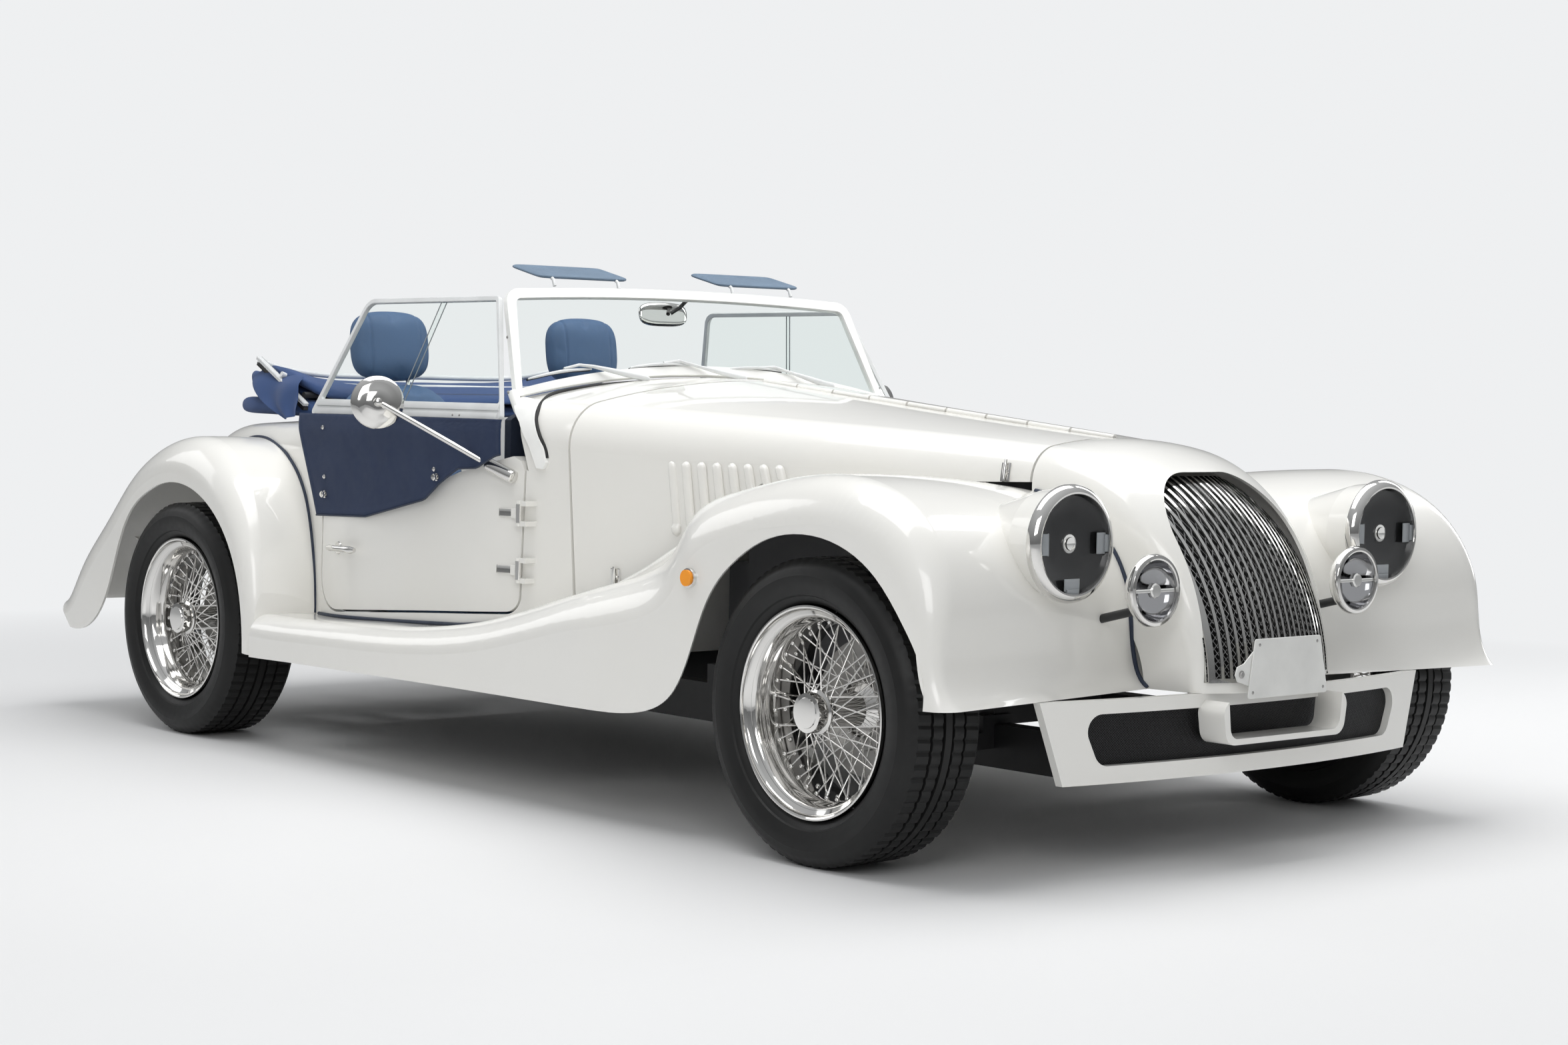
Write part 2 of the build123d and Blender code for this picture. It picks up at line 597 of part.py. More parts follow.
wipers = []
for wiper_x in (-330.0, 0.0, 330.0):
    arm = rod((wiper_x + 60, 96, 985), (wiper_x - 170, 128, 1010), 5)
    stem = rod((wiper_x + 60, 96, 930), (wiper_x + 60, 96, 990), 8)
    blade = box((wiper_x - 300, wiper_x - 50), (122, 130), (1004, 1012))
    wipers.append(largest((arm + stem + blade) - body_space))

interior_mirror = box((-90, 90), (268, 292), (1100, 1150)) + rod((0, 280, 1140), (0, 224, 1175.6), 6)
interior_mirror = largest(interior_mirror - windscreen - Pos(0, 0.3, 0) * windscreen)

VISOR_X = (137.0, 417.0)
VISOR_LONG = 142.0
VISOR_T = 9.0
VISOR_RISE = 21.0            # degrees above level
visor_plane = Plane(origin=(0, 240, 1193), x_dir=(1, 0, 0), z_dir=(0, 0, 1)).rotated((VISOR_RISE, 0, 0))
visor_face = Pos((VISOR_X[0] + VISOR_X[1]) / 2, VISOR_LONG / 2) * RectangleRounded(VISOR_X[1] - VISOR_X[0], VISOR_LONG, 22)
visor = visor_plane * extrude(visor_face, amount=VISOR_T)
for stay_x in (VISOR_X[0] + 50, VISOR_X[1] - 50):
    visor = visor + rod((stay_x, 262, 1206), (stay_x, 226, 1172), 5)
visor = largest(visor - windscreen - Pos(0, 0, SEAM) * windscreen)

# --- doors' side screens, cloth and mirrors -----------------------------
SIDE_LEAN = 0.29             # side screens lean in, mm per mm of height
SIDE_FOOT = (650.0, 858.0)   # x and z of the side screen's foot
SIDE_T = 14.0


def side_sheet(points, front, back):
    """A plate of (y, z) corners in the leaning plane, between two offsets."""
    block = side_prism(points, (500, 760))
    lean = math.degrees(math.atan(SIDE_LEAN))
    slab = Rot(0, -lean, 0) * Box(back - front, 3000, 3000)
    middle = (front + back) / 2
    return block & (Pos(SIDE_FOOT[0] + middle, 0, SIDE_FOOT[1]) * slab)


side_outer = [(75, 850), (240, 1160), (862, 1155), (958, 850)]
side_glass_line = [(101, 868), (248, 1146), (851, 1141), (937, 868)]
side_frame_left = side_sheet(side_outer, -SIDE_T, 0) - side_sheet(side_glass_line, -SIDE_T * 2, SIDE_T)
side_bar = side_sheet([(520, 862), (527, 862), (499, 1150), (492, 1150)], -SIDE_T, 0)
side_frame_left = side_frame_left + side_bar
side_glass_left = side_sheet(side_glass_line, -9, -5) - side_sheet(
    [(520 - SEAM, 860), (527 + SEAM, 860), (499 + SEAM, 1160), (492 - SEAM, 1160)], -SIDE_T - 5, 5
)
side_glass_left = side_glass_left - side_frame_left

CLOTH_T = 4.0
# the stiff cloth's own outer form, in the rows of a body
CLOTH = (
    (30.0, 648.0, 668.0, 560.0, 862.0, 864.0, 40.0),
    (300.0, 688.0, 692.0, 560.0, 862.0, 865.0, 45.0),
    (600.0, 704.0, 706.0, 560.0, 862.0, 866.0, 50.0),
    (1000.0, 712.0, 712.0, 560.0, 862.0, 866.0, 50.0),
)
cloth_line = [(64, 870), (972, 870), (972, 850), (856, 598), (600, 605), (480, 630), (350, 658)]
cloth_line = cloth_line + [(290, 700), (220, 738), (150, 742), (85, 772), (64, 776)]
cloth_block = side_prism(cloth_line, (SIDE_FOOT[0] + 2.7, 780))
cloth_left = ((body(CLOTH) - body(CLOTH, CLOTH_T, 40.0)) & cloth_block) - body_space

mirror_disc = Pos(846, 318, 893) * Rot(90, 0, 0) * Cylinder(50, 12)
mirror_arm = rod((846, 318, 893), (650, 120, 748), 7)
mirror_base = rod((664, 128, 752), (640, 40, 722), 17)
door_mirror_left = largest(mirror_disc + mirror_arm + mirror_base - door_left)
cloth_left = largest(cloth_left - rod((668, 143, 757), (640, 40, 722), 22) - rod((846, 318, 893), (650, 120, 748), 12))

# --- cabin --------------------------------------------------------------
SEAT_X = 325.0
cushion = box((SEAT_X - 225, SEAT_X + 225), (520, 1000), (FLOOR_Z + 12 + SEAM, 470))
cushion = fillet(cushion.edges().filter_by(Axis.X), 40)
back_face = [(900, 450), (1000, 450), (1130, 940), (1145, 1145), (1075, 1145), (1035, 950)]
back = side_prism(back_face, (SEAT_X - 215, SEAT_X + 215))
head_trim = box((0, SEAT_X - 130), (1000, 1300), (960, 1300)) + box((SEAT_X + 130, 700), (1000, 1300), (960, 1300))
seat_left = largest(cushion + back - head_trim)

dash_face = body_section(TUB[2], WALL + SEAM)
dashboard = extrude(dash_face, amount=26)
dashboard = dashboard & box((-590, 590), (0, 400), (715, 1000))
dashboard = largest(dashboard - scuttle)

WHEEL_HUB = Vector(330, 430, 820)
WHEEL_TILT = 25.0
STEER_R = 180.0
axis_dir = Vector(0, math.cos(math.radians(WHEEL_TILT)), math.sin(math.radians(WHEEL_TILT)))
steer_plane = Plane(origin=WHEEL_HUB, x_dir=(1, 0, 0), z_dir=axis_dir)
SHAFT_R = 11.0
column = Solid.make_cylinder(SHAFT_R, 520, Plane(origin=WHEEL_HUB - axis_dir * 520, z_dir=axis_dir))
jacket = Solid.make_cylinder(26, 400, Plane(origin=WHEEL_HUB - axis_dir * 460, z_dir=axis_dir))
steering_column = column + jacket - scuttle - dashboard
steering_column = largest(steering_column)
steer_rim = Torus(STEER_R, 13)
steer_hub = Pos(0, 0, -8) * Cylinder(38, 44) - Pos(0, 0, -20) * Cylinder(SHAFT_R + RUN, 44)
arms = [Rot(0, 0, turn) * Pos(STEER_R / 2 + 8, 0, 0) * Box(STEER_R - 24, 24, 6) for turn in (-30, 90, 210)]
steering_wheel = steer_rim + steer_hub
for arm in arms:
    steering_wheel = steering_wheel + arm
steering_wheel = steer_plane * (steering_wheel - Pos(0, 0, -24) * Cylinder(SHAFT_R + RUN, 48))

# --- stowed hood --------------------------------------------------------
# x, middle height, half height and length of the folded bundle
HOOD = ((-545, 902, 66, 400), (-430, 916, 82, 430), (0, 928, 88, 440), (430, 916, 82, 430), (545, 902, 66, 400))
hood = loft([
    Plane(origin=(x, 1388, z), x_dir=(0, 1, 0), z_dir=(1, 0, 0)) * RectangleRounded(long, 2 * half, half * 0.6)
    for x, z, half, long in HOOD
])
hood = largest(hood - body_space)

# --- chassis, engine and axles -----------------------------------------
rail = box((RAIL_X - 25, RAIL_X + 25), (-1560, 1760), RAIL_Z)
cross_rows = ((-1540, -1490), (-980, -900), (-420, -340), (60, 120), (880, 940), (1480, 1540), (1700, 1760))
chassis = rail + mirrored(rail)
for start, end in cross_rows:
    chassis = chassis + box((-RAIL_X - 25, RAIL_X + 25), (start, end), (200, FLOOR_Z - SEAM))
engine = box((-225, 225), (-1000, -330), (FLOOR_Z, 770))
gearbox = box((-110, 110), (-330, -120), (FLOOR_Z, 520))
engine = engine + gearbox

beam = box((-PIN_X - 28, PIN_X + 28), (FRONT_Y - 28, FRONT_Y + 28), (205, 240))
beam = beam - box((-RAIL_X - 26, -RAIL_X + 26), (-1400, -1100), (150, 256)) - box(
    (RAIL_X - 26, RAIL_X + 26), (-1400, -1100), (150, 256)
)
pillar = rod((PIN_X, FRONT_Y, 206), (PIN_X, FRONT_Y, 470), PIN_R)
spring = Pos(PIN_X, FRONT_Y, 425) * (Cylinder(34, 70) - Cylinder(PIN_R - 1, 80))
top_beam = box((-PIN_X - 28, PIN_X + 28), (FRONT_Y - 22, FRONT_Y + 22), (460, 492))
tower = box((RAIL_X - 22, RAIL_X + 22), (FRONT_Y - 22, FRONT_Y + 22), (RAIL_Z[1] + SEAM, 470))
lower_arm = box((RAIL_X - 24, PIN_X + 28), (FRONT_Y - 28, FRONT_Y + 28), (RAIL_Z[1] + SEAM, 276))
pin_foot = box((PIN_X - 28, PIN_X + 28), (FRONT_Y - 28, FRONT_Y + 28), (240, 258))
half_front = tower + pillar + spring + box((RAIL_X + 26, PIN_X + 28), (FRONT_Y - 28, FRONT_Y + 28), (205, 240))
half_front = half_front + box((RAIL_X - 24, RAIL_X + 60), (FRONT_Y - 28, FRONT_Y + 28), (RAIL_Z[1] + SEAM, 275))
half_front = half_front + box((RAIL_X + 26, RAIL_X + 60), (FRONT_Y - 28, FRONT_Y + 28), (205, 275))
front_suspension = largest(half_front + mirrored(half_front) + top_beam)

STUB_R = 16.0
sleeve = rod((PIN_X, FRONT_Y, 256), (PIN_X, FRONT_Y, 380), 30)
stub = rod((PIN_X, FRONT_Y, HUB_Z), (FRONT_X + 62, FRONT_Y, HUB_Z), STUB_R)
steer_arm = box((PIN_X - 60, PIN_X), (FRONT_Y, FRONT_Y + 120), (300, 316))
knuckle_left = sleeve + stub + steer_arm
knuckle_left = knuckle_left - rod((PIN_X, FRONT_Y, 200), (PIN_X, FRONT_Y, 500), PIN_R + RUN)

AXLE_R = 36.0
axle_tube = rod((-REAR_X + 118, REAR_Y, HUB_Z), (REAR_X - 118, REAR_Y, HUB_Z), AXLE_R)
axle_stub = rod((-REAR_X - 62, REAR_Y, HUB_Z), (REAR_X + 62, REAR_Y, HUB_Z), STUB_R)
diff_line = [(-112, 0), (-100, 50), (-62, 90), (0, 104), (62, 90), (100, 50), (112, 0)]
diff = Pos(0, REAR_Y, HUB_Z) * revolve(make_face(Polyline(*diff_line, close=True)), axis=Axis.X, revolution_arc=360)
LEAF_X = 430.0
leaf = box((LEAF_X - 25, LEAF_X + 25), (880, 1740), (225, 245))
leaf_pad = box((LEAF_X - 35, LEAF_X + 35), (REAR_Y - 50, REAR_Y + 50), (240, HUB_Z))
leaf_eye = box((RAIL_X + 25 + SEAM, LEAF_X + 25), (880, 930), (215, 250))
leaf_end = box((RAIL_X + 25 + SEAM, LEAF_X + 25), (1690, 1740), (215, 250))
half_axle = leaf + leaf_pad + leaf_eye + leaf_end
rear_axle = largest(axle_tube + axle_stub + diff + half_axle + mirrored(half_axle))

exhaust = rod((-180, -260, 172), (-180, 1930, 172), 24) + rod((-180, 200, 172), (-180, 760, 172), 48)
exhaust = exhaust + box((-190, -170), (70, 110), (190, 200 - SEAM)) + box((-190, -170), (1495, 1525), (190, 200 - SEAM))

# --- wheels -------------------------------------------------------------
def lathe(points):
    """Revolve (radius, x) corners about the wheel's axis."""
    face = make_face(Polyline(*[(x, r) for r, x in points], close=True))
    return revolve(face, axis=Axis.X, revolution_arc=360)


half_t = TYRE_W / 2
tyre = lathe([
    (BEAD_R, -72), (HUB_Z - 62, -half_t + 4), (HUB_Z - 40, -half_t), (HUB_Z - 14, -half_t + 7), (HUB_Z, -half_t + 22),
    (HUB_Z, half_t - 22), (HUB_Z - 14, half_t - 7), (HUB_Z - 40, half_t), (HUB_Z - 62, half_t - 4), (BEAD_R, 72),
])
half_rim = RIM_W / 2
flange_in = 76.0
rim_ring = lathe([
    (RIM_R, -half_rim), (RIM_R, -flange_in), (BEAD_R - SEAM, -72 - SEAM), (BEAD_R - SEAM, 72 + SEAM), (RIM_R, flange_in),
    (RIM_R, half_rim), (RIM_R - 6, half_rim), (186, 70), (178, 30), (178, -30), (186, -70), (RIM_R - 6, -half_rim),
])
tyre = tyre - lathe([(RIM_R + SEAM, -half_rim), (RIM_R + SEAM, -flange_in + SEAM), (BEAD_R, -72), (150, -72), (150, -half_rim)])
tyre = tyre - lathe([(RIM_R + SEAM, half_rim), (RIM_R + SEAM, flange_in - SEAM), (BEAD_R, 72), (150, 72), (150, half_rim)])
HUB_R = 44.0


def wheel_hub(bore_end):
    shape = lathe([(0, -60), (HUB_R + 14, -60), (HUB_R + 14, -46), (HUB_R, -40), (HUB_R, 60), (38, 74), (38, 90), (30, 100), (0, 100)])
    disc = lathe([(0, -74), (140, -74), (140, -62), (HUB_R + 10, -58), (0, -58)])
    bore = lathe([(0, -90), (STUB_R + RUN, -90), (STUB_R + RUN, bore_end), (0, bore_end)])
    return shape + disc - bore


def spoke(turn, inner_x, outer_x, sweep):
    start = (inner_x, (HUB_R - 3) * math.cos(turn), (HUB_R - 3) * math.sin(turn))
    end = (outer_x, 181 * math.cos(turn + sweep), 181 * math.sin(turn + sweep))
    a = Vector(*start)
    b = Vector(*end)
    return extrude(Plane(origin=a, z_dir=b - a) * Rectangle(5.0, 5.0), amount=(b - a).length)


wheel = rim_ring + wheel_hub(64)
step = 2 * math.pi / SPOKES
spokes = []
for index in range(SPOKES):
    sweep = 0.62 if index % 2 else -0.62
    spokes.append(spoke(index * step, 50.0, 22.0, sweep))
    spokes.append(spoke((index + 0.5) * step, -30.0, -14.0, -sweep))


def place_wheel(shape, x, y, turn=0):
    return Pos(x, y, HUB_Z) * Rot(0, 0, turn) * shape


wire_wheel = wheel + spokes
export("front_wings", both(front_wing_left))
export("rear_wings", both(rear_wing_left))
export("bonnet_left", bonnet_left)
export("bonnet_right", bonnet_right)
export("bonnet_hinge_rod", hinge_rod)
export("scuttle", scuttle)
export("rear_body", rear_body)
export("floor_pan", floor_pan)
export("door_left", door_left)
export("door_right", mirrored(door_left))
export("nose_cowl", nose_cowl)
export("grille", grille)
export("intake_mesh", Compound([intake_sheet, intake_mesh]))
export("valance", valance)
export("headlamps", both(headlamp))
export("fog_lamps", both(fog_lamp))
export("fog_brackets", both(fog_bracket))
export("side_repeaters", both(repeater))
export("tail_lamps", both(tail_lamp))
export("number_plate", plate)
export("windscreen_frame", windscreen)
export("windscreen_glass", screen_glass)
export("wipers", Compound(wipers))
export("interior_mirror", interior_mirror)
export("sun_visors", both(visor))
export("side_frame_left", side_frame_left)
export("side_frame_right", mirrored(side_frame_left))
export("side_glass_left", side_glass_left)
export("side_glass_right", mirrored(side_glass_left))
export("side_cloth_left", cloth_left)
export("side_cloth_right", mirrored(cloth_left))
export("door_mirror_left", door_mirror_left)
export("door_mirror_right", mirrored(door_mirror_left))
export("seats", both(seat_left))
export("dashboard", dashboard)
export("steering_column", steering_column)
export("steering_wheel", steering_wheel)
export("folded_hood", hood)
export("chassis_frame", chassis)
export("engine_block", engine)
export("front_suspension", front_suspension)
export("knuckle_left", knuckle_left)
export("knuckle_right", mirrored(knuckle_left))
export("rear_axle", rear_axle)
export("exhaust", exhaust)
for name, x, y, turn in (
    ("front_left", FRONT_X, FRONT_Y, 0),
    ("front_right", -FRONT_X, FRONT_Y, 180),
    ("rear_left", REAR_X, REAR_Y, 0),
    ("rear_right", -REAR_X, REAR_Y, 180),
):
    export(f"tyre_{name}", place_wheel(tyre, x, y, turn))
    export(f"wheel_{name}", place_wheel(wire_wheel, x, y, turn))
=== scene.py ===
"""Open roadster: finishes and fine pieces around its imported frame."""

import functools
import json
import math

import bmesh
import bpy
import numpy as np
from mathutils import Matrix, Vector
from mathutils.bvhtree import BVHTree

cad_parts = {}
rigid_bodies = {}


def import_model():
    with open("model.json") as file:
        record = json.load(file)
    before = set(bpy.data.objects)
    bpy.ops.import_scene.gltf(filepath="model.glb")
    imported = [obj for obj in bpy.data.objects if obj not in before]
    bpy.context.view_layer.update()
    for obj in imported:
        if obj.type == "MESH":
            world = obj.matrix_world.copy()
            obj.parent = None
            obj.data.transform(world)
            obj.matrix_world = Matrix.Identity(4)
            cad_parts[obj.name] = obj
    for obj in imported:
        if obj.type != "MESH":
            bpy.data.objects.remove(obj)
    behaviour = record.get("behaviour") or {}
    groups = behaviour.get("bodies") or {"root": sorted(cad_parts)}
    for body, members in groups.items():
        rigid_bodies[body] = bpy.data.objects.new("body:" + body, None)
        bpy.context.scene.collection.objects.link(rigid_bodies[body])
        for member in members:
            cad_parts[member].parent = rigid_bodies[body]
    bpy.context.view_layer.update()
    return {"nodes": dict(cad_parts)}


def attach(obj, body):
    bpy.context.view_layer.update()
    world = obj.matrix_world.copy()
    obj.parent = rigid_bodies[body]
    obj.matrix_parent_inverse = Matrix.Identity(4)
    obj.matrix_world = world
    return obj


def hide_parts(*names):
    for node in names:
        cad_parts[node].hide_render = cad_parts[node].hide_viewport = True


bl_info = {
    "name": "Open roadster",
    "version": (1, 0, 0),
    "blender": (4, 5, 0),
    "location": "View3D > Sidebar > Roadster",
    "description": "Paint, trim, wheels and stage of an open two-seat roadster",
    "category": "Object",
}

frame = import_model()
MID_LENGTH_Y = 0.083         # from mid-wheelbase back to mid-length
SIDES = (("left", 1), ("right", -1))


def place(x, y, z):
    """A point measured from mid-wheelbase, in the frame's own place."""
    return Vector((x, y - MID_LENGTH_Y, z))


WEAVE_FOOT_Z = 0.36          # open wire above, in the grille, and fine mesh below, in the valance
OPEN_WEAVE = (0.0135, 0.24)  # pitch, and the share of it that shows as wire
FINE_WEAVE = (0.0052, 0.3)
SCREEN_LEAN = 0.29           # a side screen's run inwards for each metre it rises


# --- shader expressions --------------------------------------------------


class Value:
    """A socket of a node tree whose operators add Math nodes."""

    def __init__(self, tree, socket):
        self.tree = tree
        self.socket = socket

    def math(self, operation, *others):
        node = self.tree.nodes.new("ShaderNodeMath")
        node.operation = operation
        for place_in, item in zip(node.inputs, (self, *others)):
            if isinstance(item, Value):
                self.tree.links.new(item.socket, place_in)
            else:
                place_in.default_value = item
        return Value(self.tree, node.outputs[0])

    def turned(self, operation, first):
        node = self.tree.nodes.new("ShaderNodeMath")
        node.operation = operation
        node.inputs[0].default_value = first
        self.tree.links.new(self.socket, node.inputs[1])
        return Value(self.tree, node.outputs[0])

    def __add__(self, other):
        return self.math("ADD", other)

    def __sub__(self, other):
        return self.math("SUBTRACT", other)

    def __mul__(self, other):
        return self.math("MULTIPLY", other)

    def __truediv__(self, other):
        return self.math("DIVIDE", other)

    def __pow__(self, other):
        return self.math("POWER", other)

    def __gt__(self, other):
        return self.math("GREATER_THAN", other)

    def __lt__(self, other):
        return self.math("LESS_THAN", other)

    def __mod__(self, other):
        return self.math("FLOORED_MODULO", other)

    def __abs__(self):
        return self.math("ABSOLUTE")

    def __rsub__(self, other):
        return self.turned("SUBTRACT", other)

    def __rtruediv__(self, other):
        return self.turned("DIVIDE", other)

    __radd__ = __add__
    __rmul__ = __mul__

    def sine(self):
        return self.math("SINE")

    def clamped(self, low=0.0, high=1.0):
        return self.math("MAXIMUM", low).math("MINIMUM", high)


class Nodes:
    """A node tree, with methods that add its nodes and read their sockets."""

    def __init__(self, tree):
        self.tree = tree

    def node(self, kind, settings=None, **values):
        """A node of one type: its settings first, then its sockets' values or links."""
        made = self.tree.nodes.new(kind)
        for key, value in (settings or {}).items():
            setattr(made, key, value)
        for key, value in values.items():
            socket = made.inputs[int(key[1:])] if key[1:].isdigit() else made.inputs[key.replace("_", " ")]
            if isinstance(value, Value):
                self.tree.links.new(value.socket, socket)
            else:
                socket.default_value = value
        return made

    def out(self, made, name=0):
        return Value(self.tree, made.outputs[name])


class Finish(Nodes):
    """A material with one surface shader, and methods that colour it."""

    def __init__(self, name, colour, roughness, metallic=0.0, **fixed):
        self.material = bpy.data.materials.new(name)
        self.material.use_nodes = True
        super().__init__(self.material.node_tree)
        self.shader = self.tree.nodes["Principled BSDF"]
        self.shader.inputs["Base Color"].default_value = (*colour, 1.0)
        self.shader.inputs["Roughness"].default_value = roughness
        self.shader.inputs["Metallic"].default_value = metallic
        for socket, value in fixed.items():
            self.shader.inputs[socket.replace("_", " ")].default_value = value
        self.material.diffuse_color = (*colour, 1.0)

    def coordinates(self):
        return self.out(self.node("ShaderNodeTexCoord"), "Object")

    def axes(self):
        """Object coordinates as three values."""
        split = self.node("ShaderNodeSeparateXYZ", Vector=self.coordinates())
        return [self.out(split, index) for index in range(3)]

    def noise(self, scale, detail):
        made = self.node("ShaderNodeTexNoise", Scale=scale, Detail=detail, Vector=self.coordinates())
        return self.out(made, "Fac")

    def mix(self, factor, first, second):
        """Colour between two colours by a factor."""
        ends = [end if isinstance(end, Value) else (*end, 1.0) for end in (first, second)]
        made = self.node("ShaderNodeMix", {"data_type": "RGBA"}, _0=factor, _6=ends[0], _7=ends[1])
        return self.out(made, 2)

    def feed(self, socket, value):
        self.tree.links.new(value.socket, self.shader.inputs[socket])
        return self

    def bump(self, height, distance, strength=1.0):
        made = self.node("ShaderNodeBump", Height=height, Distance=distance, Strength=strength)
        return self.feed("Normal", self.out(made, "Normal"))


def paint(name, colour):
    """Pearl paint under clear lacquer, with a faint settled dust."""
    made = Finish(name, colour, 0.3, 0.0, Coat_Weight=0.85, Coat_Roughness=0.04, Specular_IOR_Level=0.5)
    cloud = made.noise(3.0, 2.0)
    flake = made.noise(2600.0, 1.0)
    warm = tuple(channel * shade for channel, shade in zip(colour, (1.0, 0.985, 0.95)))
    made.feed("Base Color", made.mix((cloud * 0.6 + flake * 0.4).clamped(), colour, warm))
    made.feed("Roughness", 0.26 + made.noise(18.0, 4.0) * 0.1)
    return made


def metal(name, colour, roughness, grain=0.04, scale=60.0):
    """Bright metal whose polish varies a little."""
    made = Finish(name, colour, roughness, 1.0)
    made.feed("Roughness", roughness + made.noise(scale, 5.0) * grain)
    return made


def coated(name, colour, roughness, scale=400.0, depth=0.00015):
    """Painted or moulded black piece with a fine orange-peel."""
    made = Finish(name, colour, roughness)
    lighter = tuple(channel * 1.5 + 0.005 for channel in colour)
    made.feed("Base Color", made.mix(made.noise(9.0, 5.0), colour, lighter))
    made.feed("Roughness", roughness + made.noise(35.0, 4.0) * 0.15)
    made.bump(made.noise(scale, 2.0), depth)
    return made


def leather(name, colour):
    """Grained hide: cells of a few millimetres over soft tone changes."""
    made = Finish(name, colour, 0.5, Coat_Weight=0.05)
    cells = made.node("ShaderNodeTexVoronoi", {"feature": "DISTANCE_TO_EDGE"}, Scale=520.0,
                      Vector=made.coordinates())
    grain = made.out(cells, "Distance")
    darker = tuple(channel * 0.72 for channel in colour)
    made.feed("Base Color", made.mix(made.noise(7.0, 6.0), darker, colour))
    made.feed("Roughness", 0.42 + made.noise(90.0, 4.0) * 0.22)
    made.bump((grain * 6.0).clamped() * 0.7 + made.noise(160.0, 3.0) * 0.3, 0.0004)
    return made


def cloth(name, colour, pitch=0.0011):
    """Double-textured hooding: a plain weave with its threads' own tone."""
    made = Finish(name, colour, 0.86, Sheen_Weight=0.08, Sheen_Roughness=0.5)
    x, y, z = made.axes()
    step = 2 * math.pi / pitch
    along = ((x + y * 0.31) * step).sine()
    across = ((z + y * 0.95) * step).sine()
    weave = along * across * 0.5 + 0.5
    darker = tuple(channel * 0.6 for channel in colour)
    tone = (weave * 0.55 + made.noise(14.0, 5.0) * 0.45).clamped()
    made.feed("Base Color", made.mix(tone, darker, colour))
    made.feed("Roughness", 0.75 + made.noise(50.0, 3.0) * 0.2)
    made.bump(weave, 0.0003, 0.6)
    return made


def pane(name, colour):
    """Thin clear pane, so thin that it hardly bends what is seen through it."""
    made = Finish(name, colour, 0.02, Transmission_Weight=1.0, IOR=1.02)
    made.feed("Roughness", 0.02 + made.noise(8.0, 4.0) * 0.02)
    return made


def rubber(name, colour=(0.018, 0.018, 0.019), worn=(0.035, 0.035, 0.034), roughness=0.5):
    """Moulded rubber, a little paler where it is rubbed."""
    made = Finish(name, colour, roughness, Specular_IOR_Level=0.3)
    made.feed("Base Color", made.mix(made.noise(24.0, 6.0), colour, worn))
    made.feed("Roughness", roughness + made.noise(70.0, 4.0) * 0.2)
    made.bump(made.noise(900.0, 2.0), 0.00012)
    return made


def woven():
    """Woven wire over painted shade: bright and open above, fine and dark below; the near-black between the
    wires is painted shade standing in for the dark space behind the mesh.
    """
    made = Finish("woven wire", (0.02, 0.02, 0.02), 0.4, 1.0)
    x, y, z = made.axes()
    rise = z - y * 0.55

    def lattice(pitch, width):
        step = math.pi / pitch
        one = abs(((x * 1.25 + rise) * step).sine())
        two = abs(((x * 1.25 - rise) * step).sine())
        return one, two, (one.math("MINIMUM", two)) < width

    one, two, open_wire = lattice(*OPEN_WEAVE)
    _, _, fine_wire = lattice(*FINE_WEAVE)
    upper = z > WEAVE_FOOT_Z
    wire = open_wire * upper
    grey = fine_wire * (1 - upper)
    # near-black (0.008) between the wires is painted shade of the space behind the mesh; the fine grey wires
    # of the lower part lie on it
    painted_shade_and_fine_wire = made.mix(grey, (0.008, 0.008, 0.008), (0.09, 0.09, 0.093))
    made.feed("Base Color", made.mix(wire, painted_shade_and_fine_wire, (0.24, 0.24, 0.24)))
    made.feed("Roughness", 0.45 - wire * 0.2 + made.noise(50.0, 2.0) * 0.05)
    made.bump((wire + grey) * (1 - one.math("MINIMUM", two)), 0.0012, 0.7)
    return made


def finishes():
    """Every finish of the car by name."""
    look = bpy.context.scene.roadster_look
    return {
        "paint": paint("pearl paint", tuple(look.paint)),
        "chrome": metal("chrome plate", (0.74, 0.73, 0.71), 0.05),
        "bar": metal("polished bars", (0.60, 0.595, 0.58), 0.09),
        "reflector": metal("lamp reflector", (0.30, 0.30, 0.31), 0.06, 0.02, 12.0),
        "steel": metal("bare steel", (0.42, 0.41, 0.40), 0.32, 0.2),
        "iron": coated("cast iron", (0.09, 0.09, 0.095), 0.6, 700.0, 0.0004),
        "black": coated("chassis black", (0.016, 0.016, 0.017), 0.42),
        "mesh": woven(),
        "hide": leather("blue hide", tuple(look.hide)),
        "trim_hide": leather("navy hide", (0.022, 0.035, 0.07)),
        "hooding": cloth("blue hooding", tuple(look.hooding)),
        "screens": cloth("navy side cloth", tuple(look.screens)),
        "white": coated("white lacquer", (0.72, 0.72, 0.70), 0.25),
        "bowl": coated("lamp bowl", (0.006, 0.006, 0.0065), 0.16, 900.0, 0.00002),
        "visor": leather("visor vinyl", (0.16, 0.235, 0.33)),
        "mirror": metal("silvered glass", (0.9, 0.9, 0.9), 0.01, 0.01),
        "rubber": rubber("seal rubber"),
        "tab": coated("grey tabs", (0.20, 0.21, 0.22), 0.35),
        "silver": coated("silver lacquer", (0.55, 0.56, 0.56), 0.32),
        "glass": pane("screen glass", (0.93, 0.96, 0.95)),
        "lens": pane("lamp glass", (0.96, 0.97, 0.97)),
        "amber": coated("amber lens", (0.8, 0.28, 0.01), 0.12, 900.0, 0.0003),
        "red": coated("red lens", (0.42, 0.01, 0.01), 0.12, 900.0, 0.0003),
        "tyre": rubber("tyre rubber", (0.007, 0.007, 0.0075), (0.014, 0.014, 0.0135), 0.36),
        "plate": coated("bare plate", (0.62, 0.62, 0.6), 0.4),
    }


